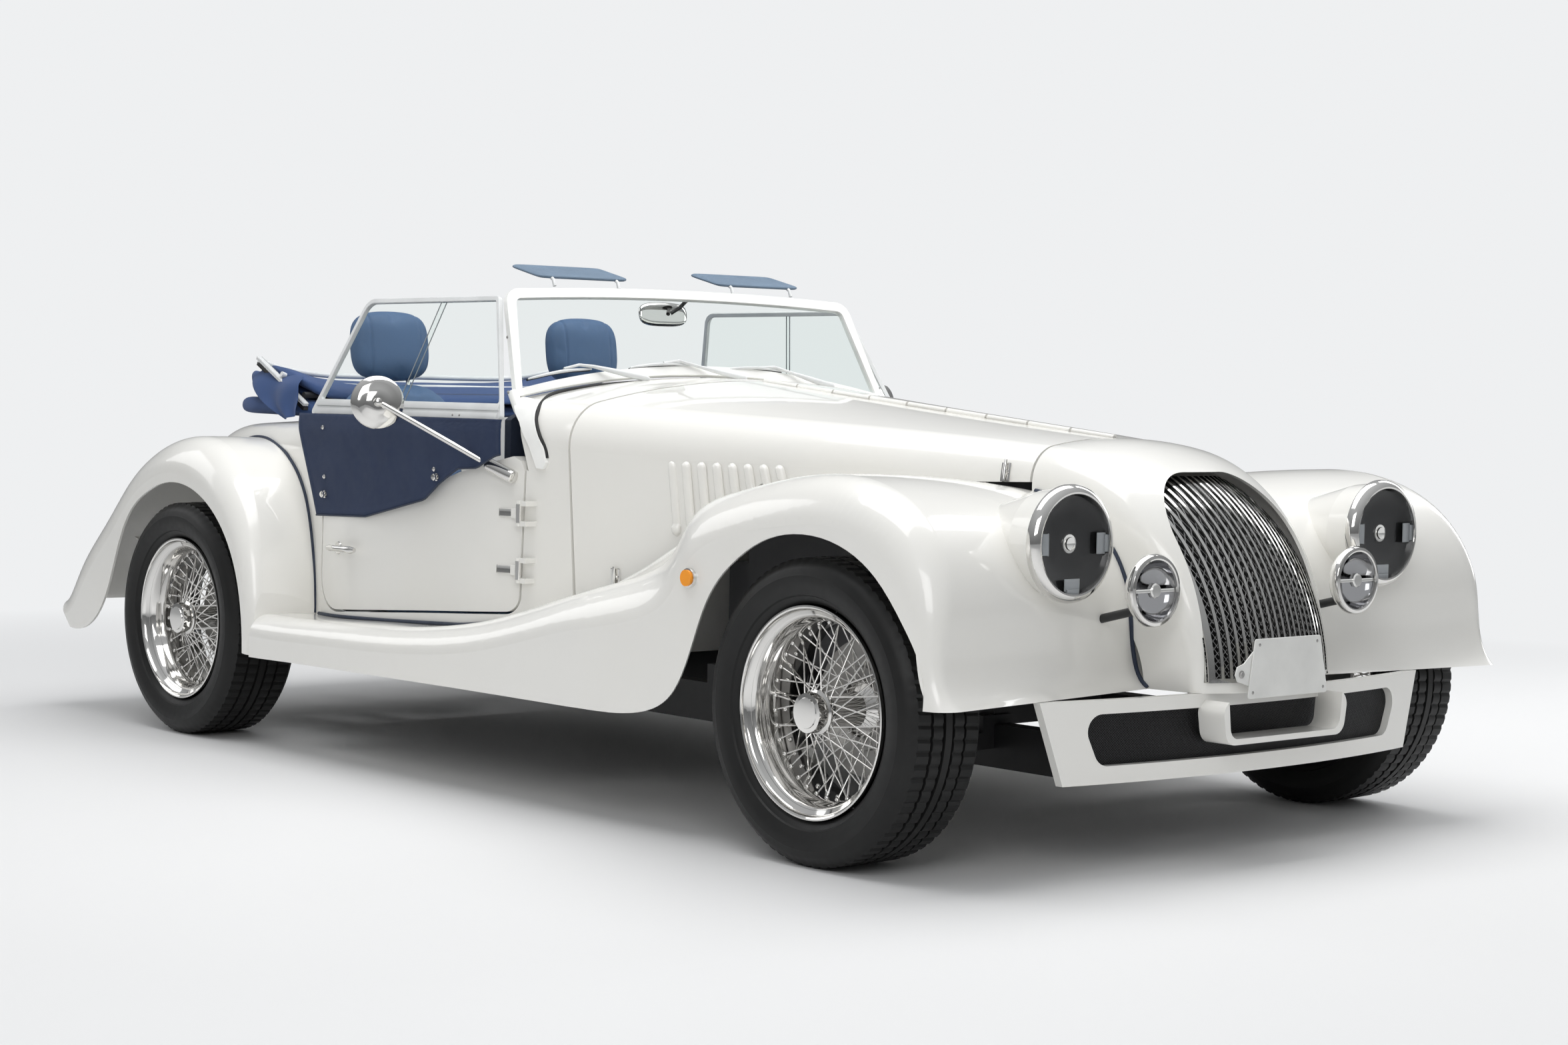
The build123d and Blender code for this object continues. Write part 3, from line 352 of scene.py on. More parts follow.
NODE_FINISH = {
    "paint": ("front_wings", "rear_wings", "bonnet_left", "bonnet_right", "scuttle", "rear_body",
              "door_left", "door_right", "nose_cowl", "valance"),
    "bar": ("grille",),
    "chrome": ("headlamps", "fog_lamps", "wipers", "interior_mirror", "door_mirror_left",
               "door_mirror_right", "bonnet_hinge_rod"),
    "white": ("windscreen_frame",),
    "black": ("fog_brackets", "floor_pan", "chassis_frame", "front_suspension", "rear_axle",
              "steering_column"),
    "mesh": ("intake_mesh",),
    "iron": ("engine_block",),
    "steel": ("knuckle_left", "knuckle_right", "exhaust"),
    "hide": ("seats", "sun_visors"),
    "trim_hide": ("dashboard", "steering_wheel"),
    "hooding": ("folded_hood", "side_cloth_left", "side_cloth_right"),
    "silver": ("side_frame_left", "side_frame_right"),
    "glass": ("windscreen_glass", "side_glass_left", "side_glass_right"),
    "amber": ("side_repeaters",),
    "red": ("tail_lamps",),
    "plate": ("number_plate",),
}
WHEELS = ("front_left", "front_right", "rear_left", "rear_right")
FINISH = {}


def coat(piece, name):
    piece.data.materials.clear()
    piece.data.materials.append(FINISH[name].material)


# --- properties ----------------------------------------------------------


class RoadsterLook(bpy.types.PropertyGroup):
    """Colours of the car."""

    paint: bpy.props.FloatVectorProperty(name="Paint", description="Body and wing colour", subtype="COLOR",
                                         size=3, min=0, max=1, default=(0.86, 0.855, 0.83))
    hide: bpy.props.FloatVectorProperty(name="Hide", description="Seat leather colour", subtype="COLOR",
                                        size=3, min=0, max=1, default=(0.075, 0.15, 0.29))
    hooding: bpy.props.FloatVectorProperty(name="Hooding", description="Folded hood's cloth colour",
                                           subtype="COLOR", size=3, min=0, max=1,
                                           default=(0.045, 0.095, 0.25))
    screens: bpy.props.FloatVectorProperty(name="Side cloth", description="Cloth under the side screens",
                                           subtype="COLOR", size=3, min=0, max=1,
                                           default=(0.010, 0.028, 0.085))


class RoadsterView(bpy.types.PropertyGroup):
    """Where the camera stands."""

    azimuth: bpy.props.FloatProperty(name="Azimuth", description="Turn round the car from dead ahead",
                                     subtype="ANGLE", default=math.radians(-40.8))
    elevation: bpy.props.FloatProperty(name="Elevation", description="Rise above the horizon",
                                       subtype="ANGLE", default=math.radians(2.8))
    roll: bpy.props.FloatProperty(name="Roll", description="Lean of the camera", subtype="ANGLE",
                                  default=math.radians(1.0))
    lens: bpy.props.FloatProperty(name="Lens", description="Focal length on a 36 mm sensor", default=62.96)
    stand: bpy.props.FloatVectorProperty(name="Stand", description="Camera's place from mid-wheelbase",
                                         subtype="TRANSLATION", unit="LENGTH", size=3,
                                         default=(-4.4042, -5.2962, 0.9462))


# --- mesh helpers --------------------------------------------------------


def link(name, mesh, finish, body):
    """A piece at the origin, in one finish, riding on a body."""
    mesh.name = name
    piece = bpy.data.objects.new(name, mesh)
    bpy.context.scene.collection.objects.link(piece)
    mesh.materials.clear()
    mesh.materials.append(FINISH[finish].material)
    mesh.shade_smooth()
    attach(piece, body)
    return piece


def mesh_of(shape, name):
    """A mesh of a bmesh, which is freed."""
    mesh = bpy.data.meshes.new(name)
    shape.to_mesh(mesh)
    shape.free()
    return mesh


def from_bmesh(name, shape, finish, body, sharp=35.0):
    """Turns a bmesh into a piece with outward faces and edges kept sharp past an angle."""
    bmesh.ops.remove_doubles(shape, verts=shape.verts, dist=1e-6)
    bmesh.ops.recalc_face_normals(shape, faces=shape.faces)
    mesh = mesh_of(shape, name)
    piece = link(name, mesh, finish, body)
    mesh.set_sharp_from_angle(angle=math.radians(sharp))
    return piece


def frame_of(centre, along, up=Vector((0, 0, 1))):
    """Matrix whose local Z runs along a direction."""
    z = Vector(along).normalized()
    x = up.cross(z) if abs(up.dot(z)) < 0.98 else Vector((1, 0, 0)).cross(z)
    x.normalize()
    pose = Matrix((x, z.cross(x), z)).transposed().to_4x4()
    pose.translation = Vector(centre)
    return pose


def add_band(shape, here, there):
    """Adds the faces between two rings of points."""
    for corners in zip(here, here[1:] + here[:1], there[1:] + there[:1], there):
        shape.faces.new(corners)


def add_lathe(shape, profile, pose, steps, closed=True):
    """Adds a surface of revolution: (radius, height) corners about local Z."""
    rings = []
    for index in range(steps):
        turn = 2 * math.pi * index / steps
        rings.append([
            shape.verts.new(pose @ Vector((r * math.cos(turn), r * math.sin(turn), h))) for r, h in profile
        ])
    count = len(profile)
    for index in range(steps):
        here, there = rings[index], rings[(index + 1) % steps]
        for k in range(count if closed else count - 1):
            n = (k + 1) % count
            shape.faces.new((here[k], here[n], there[n], there[k]))


def add_knob(shape, profile, pose, steps):
    """Adds a turned piece whose (radius, height) profile starts and ends on its axis or inside its seat."""
    add_lathe(shape, profile, pose, steps, closed=False)


def lathed(name, profile, pose, steps, finish, body, closed=True, sharp=35.0):
    """A turned piece by itself."""
    shape = bmesh.new()
    add_lathe(shape, profile, pose, steps, closed)
    return from_bmesh(name, shape, finish, body, sharp)


def add_tube(shape, points, radius, sides):
    """Adds a round bar through points, mitred at each of them; its radius is one value or one a point."""
    points = [Vector(p) for p in points]
    rings = []
    side = None
    for index, point in enumerate(points):
        before = points[max(index - 1, 0)]
        after = points[min(index + 1, len(points) - 1)]
        along = (after - before).normalized()
        if side is None:
            side = along.orthogonal().normalized()
        side = (side - along * side.dot(along)).normalized()
        other = along.cross(side)
        size = radius[index] if isinstance(radius, (list, tuple)) else radius
        rings.append([
            shape.verts.new(point + (side * math.cos(a) + other * math.sin(a)) * size)
            for a in (2 * math.pi * k / sides for k in range(sides))
        ])
    for here, there in zip(rings, rings[1:]):
        add_band(shape, here, there)
    shape.faces.new(rings[0][::-1])
    shape.faces.new(rings[-1])


def add_block(shape, low, high, pose=Matrix.Identity(4), bevel=0.0):
    """Adds a box between two corners, with its edges eased."""
    made = bmesh.ops.create_cube(shape, size=1.0)["verts"]
    low, high = Vector(low), Vector(high)
    for v in made:
        v.co = pose @ Vector(a + (b - a) * (c + 0.5) for a, b, c in zip(low, high, v.co))
    if bevel:
        edges = list({e for v in made for e in v.link_edges})
        bmesh.ops.bevel(shape, geom=edges, offset=bevel, segments=2, affect="EDGES", profile=0.7)


def mirror_points(points, side):
    return [Vector((x * side, y, z)) for x, y, z in points]


def add_sheet(shape, outline, levels):
    """Adds a flat closed outline of points at each of two levels and walls between them."""
    for level in levels:
        shape.faces.new([shape.verts.new(spot) for spot in outline(level)])
    bmesh.ops.bridge_loops(shape, edges=shape.edges)


def soften(piece, width):
    """Eases a piece's sharp edges."""
    bevel = piece.modifiers.new("soften", "BEVEL")
    bevel.width = width
    bevel.segments = 2
    bevel.limit_method = "ANGLE"


def thicken(piece, thickness, offset):
    """Gives a sheet its thickness."""
    solid = piece.modifiers.new("thickness", "SOLIDIFY")
    solid.thickness = thickness
    solid.offset = offset


# --- geometry nodes ------------------------------------------------------


class Pattern(Nodes):
    """A Geometry Nodes tree with named inputs that ends in one finish."""

    def __init__(self, name, finish, **inputs):
        super().__init__(bpy.data.node_groups.new(name, "GeometryNodeTree"))
        self.finish = FINISH[finish].material
        face = self.tree.interface
        face.new_socket("Geometry", in_out="INPUT", socket_type="NodeSocketGeometry")
        face.new_socket("Geometry", in_out="OUTPUT", socket_type="NodeSocketGeometry")
        self.ids = {}
        for key, value in inputs.items():
            kind = "NodeSocketInt" if isinstance(value, int) else "NodeSocketFloat"
            made = face.new_socket(key, in_out="INPUT", socket_type=kind)
            made.default_value = value
            self.ids[key] = made.identifier
        self.entry = self.tree.nodes.new("NodeGroupInput")

    def given(self, name):
        return Value(self.tree, self.entry.outputs[name])

    def point(self, x, y, z):
        return self.out(self.node("ShaderNodeCombineXYZ", X=x, Y=y, Z=z))

    def end(self, geometry):
        real = self.node("GeometryNodeRealizeInstances", Geometry=geometry)
        dressed = self.node("GeometryNodeSetMaterial", Geometry=self.out(real), Material=self.finish)
        self.node("NodeGroupOutput", _0=self.out(dressed))
        return self

    def mesh(self, name, pose=Matrix.Identity(4), **inputs):
        """The tree's result as a plain mesh, set in place."""
        carrier = bpy.data.objects.new(name, bpy.data.meshes.new(name))
        bpy.context.scene.collection.objects.link(carrier)
        modifier = carrier.modifiers.new(name, "NODES")
        modifier.node_group = self.tree
        for key, value in inputs.items():
            modifier[self.ids[key]] = value
        graph = bpy.context.evaluated_depsgraph_get()
        graph.update()
        mesh = bpy.data.meshes.new_from_object(carrier.evaluated_get(graph))
        bpy.data.objects.remove(carrier)
        mesh.transform(pose)
        return mesh


def laced_spokes():
    """Straight wires from a hub circle to a rim circle, crossing in pairs about X."""
    made = Pattern("laced spokes", "chrome", Count=36, Hub_Radius=0.04, Rim_Radius=0.18, Hub_Reach=0.05,
                   Rim_Reach=0.0, Lacing=0.6, Wire=0.0019, Start=0.0)
    count = made.given("Count")
    line = made.node("GeometryNodeMeshLine", {"mode": "OFFSET"}, Count=count * 2)
    index = made.out(made.node("GeometryNodeInputIndex"))
    outer = index % 2
    number = (index / 2).math("FLOOR")
    sign = 1 - (number % 2) * 2
    turn = number * (2 * math.pi) / count + made.given("Start") + outer * sign * made.given("Lacing")
    radius = made.given("Hub_Radius") + outer * (made.given("Rim_Radius") - made.given("Hub_Radius"))
    reach = made.given("Hub_Reach") + outer * (made.given("Rim_Reach") - made.given("Hub_Reach"))
    spot = made.point(reach, radius * turn.math("COSINE"), radius * turn.sine())
    laid = made.node("GeometryNodeSetPosition", Geometry=made.out(line), Position=spot)
    ends = made.node("GeometryNodeInputMeshEdgeVertices")
    loose = made.out(ends, "Vertex Index 1") % 2
    cut = made.node("GeometryNodeDeleteGeometry", {"domain": "EDGE"}, Geometry=made.out(laid),
                    Selection=loose > 0.5)
    wires = made.node("GeometryNodeMeshToCurve", Mesh=made.out(cut))
    profile = made.node("GeometryNodeCurvePrimitiveCircle", Resolution=6, Radius=made.given("Wire"))
    bars = made.node("GeometryNodeCurveToMesh", Curve=made.out(wires), Profile_Curve=made.out(profile))
    return made.end(made.out(bars))


def rim_nipples():
    """Round nipples in rows round a rim's barrel about X."""
    made = Pattern("rim nipples", "chrome", Count=36, Radius=0.176, Reach=0.0, Size=0.005, Start=0.0)
    count = made.given("Count")
    line = made.node("GeometryNodeMeshLine", {"mode": "OFFSET"}, Count=count)
    index = made.out(made.node("GeometryNodeInputIndex"))
    turn = index * (2 * math.pi) / count + made.given("Start")
    radius = made.given("Radius")
    spot = made.point(made.given("Reach"), radius * turn.math("COSINE"), radius * turn.sine())
    laid = made.node("GeometryNodeSetPosition", Geometry=made.out(line), Position=spot)
    ball = made.node("GeometryNodeMeshIcoSphere", Radius=made.given("Size"), Subdivisions=2)
    row = made.node("GeometryNodeInstanceOnPoints", Points=made.out(laid), Instance=made.out(ball))
    return made.end(made.out(row))


# --- operators -----------------------------------------------------------


class ROADSTER_OT_finishes(bpy.types.Operator):
    """Give every frame node its finish"""

    bl_idname = "roadster.finishes"
    bl_label = "Finishes"

    def execute(self, context):
        FINISH.update(finishes())
        nodes = frame["nodes"]
        for name, members in NODE_FINISH.items():
            for member in members:
                coat(nodes[member], name)
        for wheel in WHEELS:
            coat(nodes["tyre_" + wheel], "tyre")
            coat(nodes["wheel_" + wheel], "chrome")
        return {"FINISHED"}


# --- wheels and tyres ----------------------------------------------------

HUB_HEIGHT = 0.308
WHEEL_PLACE = {
    "front_left": (0.760, -1.260, 1),
    "front_right": (-0.760, -1.260, -1),
    "rear_left": (0.778, 1.260, 1),
    "rear_right": (-0.778, 1.260, -1),
}


def wheel_pose(wheel):
    """Wheel's own frame: X outward, at its hub."""
    x, y, side = WHEEL_PLACE[wheel]
    turn = Matrix.Identity(4) if side > 0 else Matrix.Rotation(math.pi, 4, "Z")
    return Matrix.Translation(place(x, y, HUB_HEIGHT)) @ turn


AXLE_UP = frame_of((0, 0, 0), (1, 0, 0))


class ROADSTER_OT_tyres(bpy.types.Operator):
    """Cut the tread and mould the walls of the four tyres"""

    bl_idname = "roadster.tyres"
    bl_label = "Tyres"

    SEGMENTS = 288               # round the tyre
    BLOCKS = 72                  # cuts in the tread, round the tyre
    TREAD_LEAN = 0.25            # turn of the cuts for each metre across
    # one wall from the bead outwards: radius and reach
    WALL = ((0.2155, 0.078), (0.222, 0.0865), (0.231, 0.0915), (0.2335, 0.0955), (0.238, 0.0965),
            (0.250, 0.1003), (0.262, 0.1022), (0.272, 0.1022), (0.2735, 0.1014), (0.284, 0.1000),
            (0.292, 0.0945), (0.2985, 0.0885), (0.3035, 0.0815))
    WALL_CUT_FROM = 0.285        # radius past which the tread's cuts show on the wall
    WALL_CUT = 0.0005
    # each rib's start and end across the tread, and how deep its cuts are
    RIBS = ((0.0795, 0.047, 0.0035), (0.0405, 0.0155, 0.003), (0.0085, -0.0085, 0.0),
            (-0.0155, -0.0405, 0.003), (-0.047, -0.0795, 0.0035))
    RIB_SHARES = (0.0, 0.12, 0.5, 0.88, 1.0)
    TREAD_RADIUS = 0.3078
    TREAD_WIDTH = 0.16
    CROWN = 0.0016               # drop of the outer ribs
    GROOVE = 0.0072
    GROOVE_SLOPE = 0.0012

    def section(self):
        """(radius, reach, depth of the cuts) round the outside, bead to bead."""
        wall = [(r, x, self.WALL_CUT if r > self.WALL_CUT_FROM else 0.0) for r, x in self.WALL]
        rows = list(wall)
        for start, end, cut in self.RIBS:
            radius = self.TREAD_RADIUS - self.CROWN * abs((start + end) / self.TREAD_WIDTH) ** 2
            if start != self.RIBS[0][0]:
                rows.append((radius - self.GROOVE, start + self.GROOVE_SLOPE, 0.0))
            rows += [(radius, start + (end - start) * share, cut) for share in self.RIB_SHARES]
            if end != self.RIBS[-1][1]:
                rows.append((radius - self.GROOVE, end - self.GROOVE_SLOPE, 0.0))
        return rows + [(r, -x, cut) for r, x, cut in reversed(wall)]

    def execute(self, context):
        rows = self.section()
        for wheel in WHEELS:
            pose = wheel_pose(wheel)
            shape = bmesh.new()
            rings = []
            for index in range(self.SEGMENTS):
                turn = 2 * math.pi * index / self.SEGMENTS
                in_cut = index % (self.SEGMENTS // self.BLOCKS) == 0
                ring = []
                for r, x, depth in rows:
                    lean = turn + x * self.TREAD_LEAN
                    radius = r - (depth if in_cut else 0.0)
                    spot = Vector((x, radius * math.cos(lean), radius * math.sin(lean)))
                    ring.append(shape.verts.new(pose @ spot))
                rings.append(ring)
            for index in range(self.SEGMENTS):
                here, there = rings[index], rings[(index + 1) % self.SEGMENTS]
                for k in range(len(rows)):
                    n = (k + 1) % len(rows)
                    shape.faces.new((here[k], there[k], there[n], here[n]))
            piece = from_bmesh("tread_" + wheel, shape, "tyre", "road_wheel_" + wheel, 28.0)
            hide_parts("tyre_" + wheel)
        return {"FINISHED"}


class ROADSTER_OT_wheels(bpy.types.Operator):
    """Spin the rims and hubs and lace their wires"""

    bl_idname = "roadster.wheels"
    bl_label = "Wire wheels"

    RIM = ((0.2128, 0.0885), (0.2128, 0.078), (0.1936, 0.0722), (0.1936, -0.0722), (0.2128, -0.078),
           (0.2128, -0.0885), (0.2075, -0.0885), (0.2045, -0.082), (0.190, -0.072), (0.186, -0.052),
           (0.1795, -0.03), (0.1775, -0.012), (0.1775, 0.030), (0.181, 0.040), (0.186, 0.048),
           (0.1875, 0.066), (0.192, 0.071), (0.2015, 0.0765), (0.2045, 0.080), (0.2065, 0.0875),
           (0.2095, 0.0893))
    SHELL = ((0.0165, -0.058), (0.057, -0.058), (0.058, -0.050), (0.050, -0.043), (0.036, -0.034),
             (0.032, -0.010), (0.032, 0.040), (0.037, 0.052), (0.044, 0.056), (0.044, 0.066),
             (0.037, 0.070), (0.037, 0.075), (0.0165, 0.075))
    DRUM = ((0.017, -0.0735), (0.1395, -0.0735), (0.1395, -0.0625), (0.086, -0.0605), (0.084, -0.0525),
            (0.0585, -0.0505), (0.0585, -0.0585), (0.017, -0.0585))
    NUT = ((0.0, 0.0755), (0.0405, 0.0755), (0.0415, 0.079), (0.0415, 0.090), (0.0395, 0.0935),
           (0.031, 0.0945), (0.030, 0.0965), (0.0, 0.0985))
    NUT_SIDES = 8
    NUT_ACROSS = 0.039           # from its axis to a flat
    BARREL = 0.1765              # radius at which the nipples' middles sit
    # rows: hub radius, rim radius, hub reach, rim reach, lacing, start
    ROWS = ((0.0415, 0.1785, 0.061, -0.006, 0.62, 0.0), (0.0535, 0.1785, -0.050, 0.022, -0.52, 0.087))

    def execute(self, context):
        spokes, nipples = laced_spokes(), rim_nipples()
        for wheel in WHEELS:
            pose = wheel_pose(wheel)
            body = "road_wheel_" + wheel
            rim = lathed("rim_" + wheel, self.RIM, pose @ AXLE_UP, 128, "chrome", body, sharp=40.0)
            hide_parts("wheel_" + wheel)
            lathed("hub_shell_" + wheel, self.SHELL, pose @ AXLE_UP, 64, "chrome", body, sharp=40.0)
            lathed("brake_disc_" + wheel, self.DRUM, pose @ AXLE_UP, 72, "steel", body, sharp=40.0)
            self.nut(wheel, pose, body)
            for row, (hub_r, rim_r, hub_x, rim_x, lacing, start) in enumerate(self.ROWS):
                wires = spokes.mesh("spokes", pose, Hub_Radius=hub_r, Rim_Radius=rim_r, Hub_Reach=hub_x,
                                    Rim_Reach=rim_x, Lacing=lacing, Start=start)
                link(f"spokes_{row}_{wheel}", wires, "chrome", body)
                balls = nipples.mesh("nipples", pose, Reach=rim_x, Start=start + lacing, Radius=self.BARREL)
                link(f"nipples_{row}_{wheel}", balls, "chrome", body)
        return {"FINISHED"}

    def nut(self, wheel, pose, body):
        """Eight-sided hub nut with a round crown, left plain."""
        nut = bmesh.new()
        add_knob(nut, self.NUT, pose @ AXLE_UP, self.NUT_SIDES * 6)
        side = 2 * math.pi / self.NUT_SIDES
        for v in nut.verts:
            spot = pose.inverted() @ v.co
            radius = math.hypot(spot.y, spot.z)
            if radius > 0.036 and spot.x > 0.078:
                turn = math.atan2(spot.z, spot.y) % side - side / 2
                flat = min(self.NUT_ACROSS / math.cos(turn) / radius, 1.0)
                v.co = pose @ Vector((spot.x, spot.y * flat, spot.z * flat))
        from_bmesh("hub_nut_" + wheel, nut, "chrome", body, 25.0)


# --- lamps ---------------------------------------------------------------

HEAD_LAMP = (0.492, -1.612, 0.653)
FOG_LAMP = (0.320, -1.681, 0.560)


def lamp_pose(lamp, side):
    """Lamp's own frame: Z forward from its rim's plane."""
    x, y, z = lamp
    return frame_of(place(x * side, y, z), (0, -1, 0))


class ROADSTER_OT_headlamps(bpy.types.Operator):
    """Make the headlamps' rims, bowls, bulbs and glasses"""

    bl_idname = "roadster.headlamps"
    bl_label = "Headlamps"

    RIM = ((0.1165, 0.0005), (0.1168, 0.008), (0.1145, 0.0155), (0.108, 0.0225), (0.102, 0.0255),
           (0.0985, 0.0245), (0.0975, 0.0205), (0.1015, 0.0165), (0.104, 0.0005))
    BOWL = ((0.1010, 0.0170), (0.1000, 0.0155), (0.094, 0.0075), (0.080, 0.0030), (0.055, 0.0015),
            (0.028, 0.0010), (0.0, 0.0008))
    GLASS = ((0.1005, 0.0182), (0.099, 0.0215), (0.090, 0.0285), (0.070, 0.0350), (0.040, 0.0388),
             (0.0, 0.0405))
    SHIELD = ((0.0, 0.0105), (0.0080, 0.0102), (0.0125, 0.0085), (0.0140, 0.0055), (0.0140, 0.0042),
              (0.0185, 0.0040), (0.0195, 0.0020), (0.0195, 0.0008))
    TAB_TURNS = (0, 180, 270)    # degrees round the bowl

    def execute(self, context):
        first = None
        for name, side in SIDES:
            pose = lamp_pose(HEAD_LAMP, side)
            rim = lathed("headlamp_rim_" + name, self.RIM, pose, 96, "chrome", "chassis")
            first = first or rim
            lathed("headlamp_bowl_" + name, self.BOWL, pose, 96, "bowl", "chassis", closed=False)
            lathed("headlamp_bulb_" + name, self.SHIELD, pose, 40, "chrome", "chassis", closed=False)
            tabs = bmesh.new()
            for turn in self.TAB_TURNS:
                swing = pose @ Matrix.Rotation(math.radians(turn), 4, "Z")
                add_block(tabs, (0.068, -0.021, 0.0120), (0.092, 0.021, 0.0140), swing, 0.0009)
                add_block(tabs, (0.088, -0.017, 0.0120), (0.100, 0.017, 0.0175), swing, 0.0009)
            from_bmesh("headlamp_tabs_" + name, tabs, "tab", "chassis")
            lathed("headlamp_glass_" + name, self.GLASS, pose, 96, "lens", "chassis",
                   closed=False)
        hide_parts("headlamps")
        return {"FINISHED"}


class ROADSTER_OT_fog_lamps(bpy.types.Operator):
    """Make the fog lamps' shells, bars and glasses"""

    bl_idname = "roadster.fog_lamps"
    bl_label = "Fog lamps"

    BACK = ((0.0, -0.0335), (0.025, -0.0325), (0.045, -0.0280), (0.060, -0.0180), (0.0685, -0.0060),
            (0.0705, 0.0))
    RIM = ((0.0705, -0.0010), (0.0728, 0.0005), (0.0728, 0.0075), (0.0700, 0.0120), (0.0640, 0.0138),
           (0.0610, 0.0125), (0.0598, 0.0080), (0.0640, 0.0040), (0.0680, -0.0010))
    BOWL = ((0.0600, 0.0085), (0.0560, -0.0020), (0.0460, -0.0130), (0.0300, -0.0205), (0.0, -0.0240))
    GLASS = ((0.0598, 0.0100), (0.050, 0.0135), (0.030, 0.0160), (0.0, 0.0168))
    BOSS = ((0.0, 0.0125), (0.0125, 0.0120), (0.0150, 0.0095), (0.0150, 0.0), (0.0, 0.0))

    def execute(self, context):
        first = None
        for name, side in SIDES:
            pose = lamp_pose(FOG_LAMP, side)
            shell = lathed("fog_lamp_shell_" + name, self.BACK, pose, 80, "paint", "chassis",
                           closed=False)
            first = first or shell
            lathed("fog_lamp_rim_" + name, self.RIM, pose, 80, "chrome", "chassis")
            lathed("fog_lamp_bowl_" + name, self.BOWL, pose, 80, "reflector", "chassis", closed=False)
            lathed("fog_lamp_glass_" + name, self.GLASS, pose, 80, "lens", "chassis",
                   closed=False)
            bar = bmesh.new()
            add_block(bar, (-0.058, -0.0035, 0.004), (0.058, 0.0035, 0.0085), pose, 0.001)
            add_knob(bar, self.BOSS, pose, 32)
            from_bmesh("fog_lamp_bar_" + name, bar, "chrome", "chassis")
        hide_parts("fog_lamps")
        return {"FINISHED"}


# --- soft trim -----------------------------------------------------------

SEAT_X = 0.325


def soft_block(half, power, cuts=22, waist=None):
    """A soft-edged block about the origin; waist scales its width along its height (Y)."""
    shape = bmesh.new()
    bmesh.ops.create_cube(shape, size=2.0)
    bmesh.ops.subdivide_edges(shape, edges=shape.edges, cuts=cuts, use_grid_fill=True)
    for v in shape.verts:
        swell = abs(v.co.x) ** power[0] + abs(v.co.y) ** power[0] + abs(v.co.z) ** power[1]
        grow = swell ** (-1 / power[0])
        spot = v.co * grow
        width = waist(spot.y) if waist else 1.0
        v.co = Vector((spot.x * half[0] * width, spot.y * half[1], spot.z * half[2]))
    return shape


STUFFING_VOXEL = 0.006
STUFFING_CAP = 0.012         # furthest that a point moves when it is stuffed
STUFFING_FRAMES = 20


def stuff(shape, name):
    """Blows a closed form up as cloth under pressure, each point held within a cap."""
    piece = bpy.data.objects.new(name, mesh_of(shape, name))
    bpy.context.scene.collection.objects.link(piece)
    remesh = piece.modifiers.new("remesh", "REMESH")
    remesh.mode = "VOXEL"
    remesh.voxel_size = STUFFING_VOXEL
    piece.data = settled(piece)
    piece.modifiers.clear()
    start = [v.co.copy() for v in piece.data.vertices]
    soft = piece.modifiers.new("soft", "CLOTH")
    soft.settings.use_pressure = True
    soft.settings.uniform_pressure_force = 4.0
    soft.settings.effector_weights.gravity = 0.0
    soft.settings.quality = 4
    soft.settings.tension_stiffness = 12.0
    soft.settings.compression_stiffness = 12.0
    soft.settings.bending_stiffness = 0.8
    soft.point_cache.frame_end = STUFFING_FRAMES
    for number in range(1, STUFFING_FRAMES + 1):
        bpy.context.scene.frame_set(number)
    piece.data = settled(piece)
    piece.modifiers.clear()
    bpy.context.scene.frame_set(1)
    for v, rest in zip(piece.data.vertices, start):
        move = v.co - rest
        if move.length > STUFFING_CAP:
            v.co = rest + move.normalized() * STUFFING_CAP
    finer = piece.modifiers.new("finer", "SUBSURF")
    finer.levels = finer.render_levels = 1
    piece.data = settled(piece)
    piece.modifiers.clear()
    mesh = piece.data
    bpy.data.objects.remove(piece)
    return mesh


def settled(piece):
    """The evaluated mesh of an object, as a mesh of its own."""
    graph = bpy.context.evaluated_depsgraph_get()
    graph.update()
    return bpy.data.meshes.new_from_object(piece.evaluated_get(graph))


def press_seams(mesh, seams):
    """Draws a mesh in along its normals at seams, each a distance of x, y and z, a depth and a width."""
    count = len(mesh.vertices)
    spots, normals = np.empty(count * 3), np.empty(count * 3)
    mesh.vertices.foreach_get("co", spots)
    mesh.vertices.foreach_get("normal", normals)
    spots, normals = spots.reshape(-1, 3), normals.reshape(-1, 3)
    pull = np.zeros(count)
    for distance, depth, width in seams:
        pull = np.maximum(pull, depth * np.exp(-((distance(*spots.T) / width) ** 2)))
    mesh.vertices.foreach_set("co", (spots - normals * pull[:, None]).ravel())
    mesh.update()


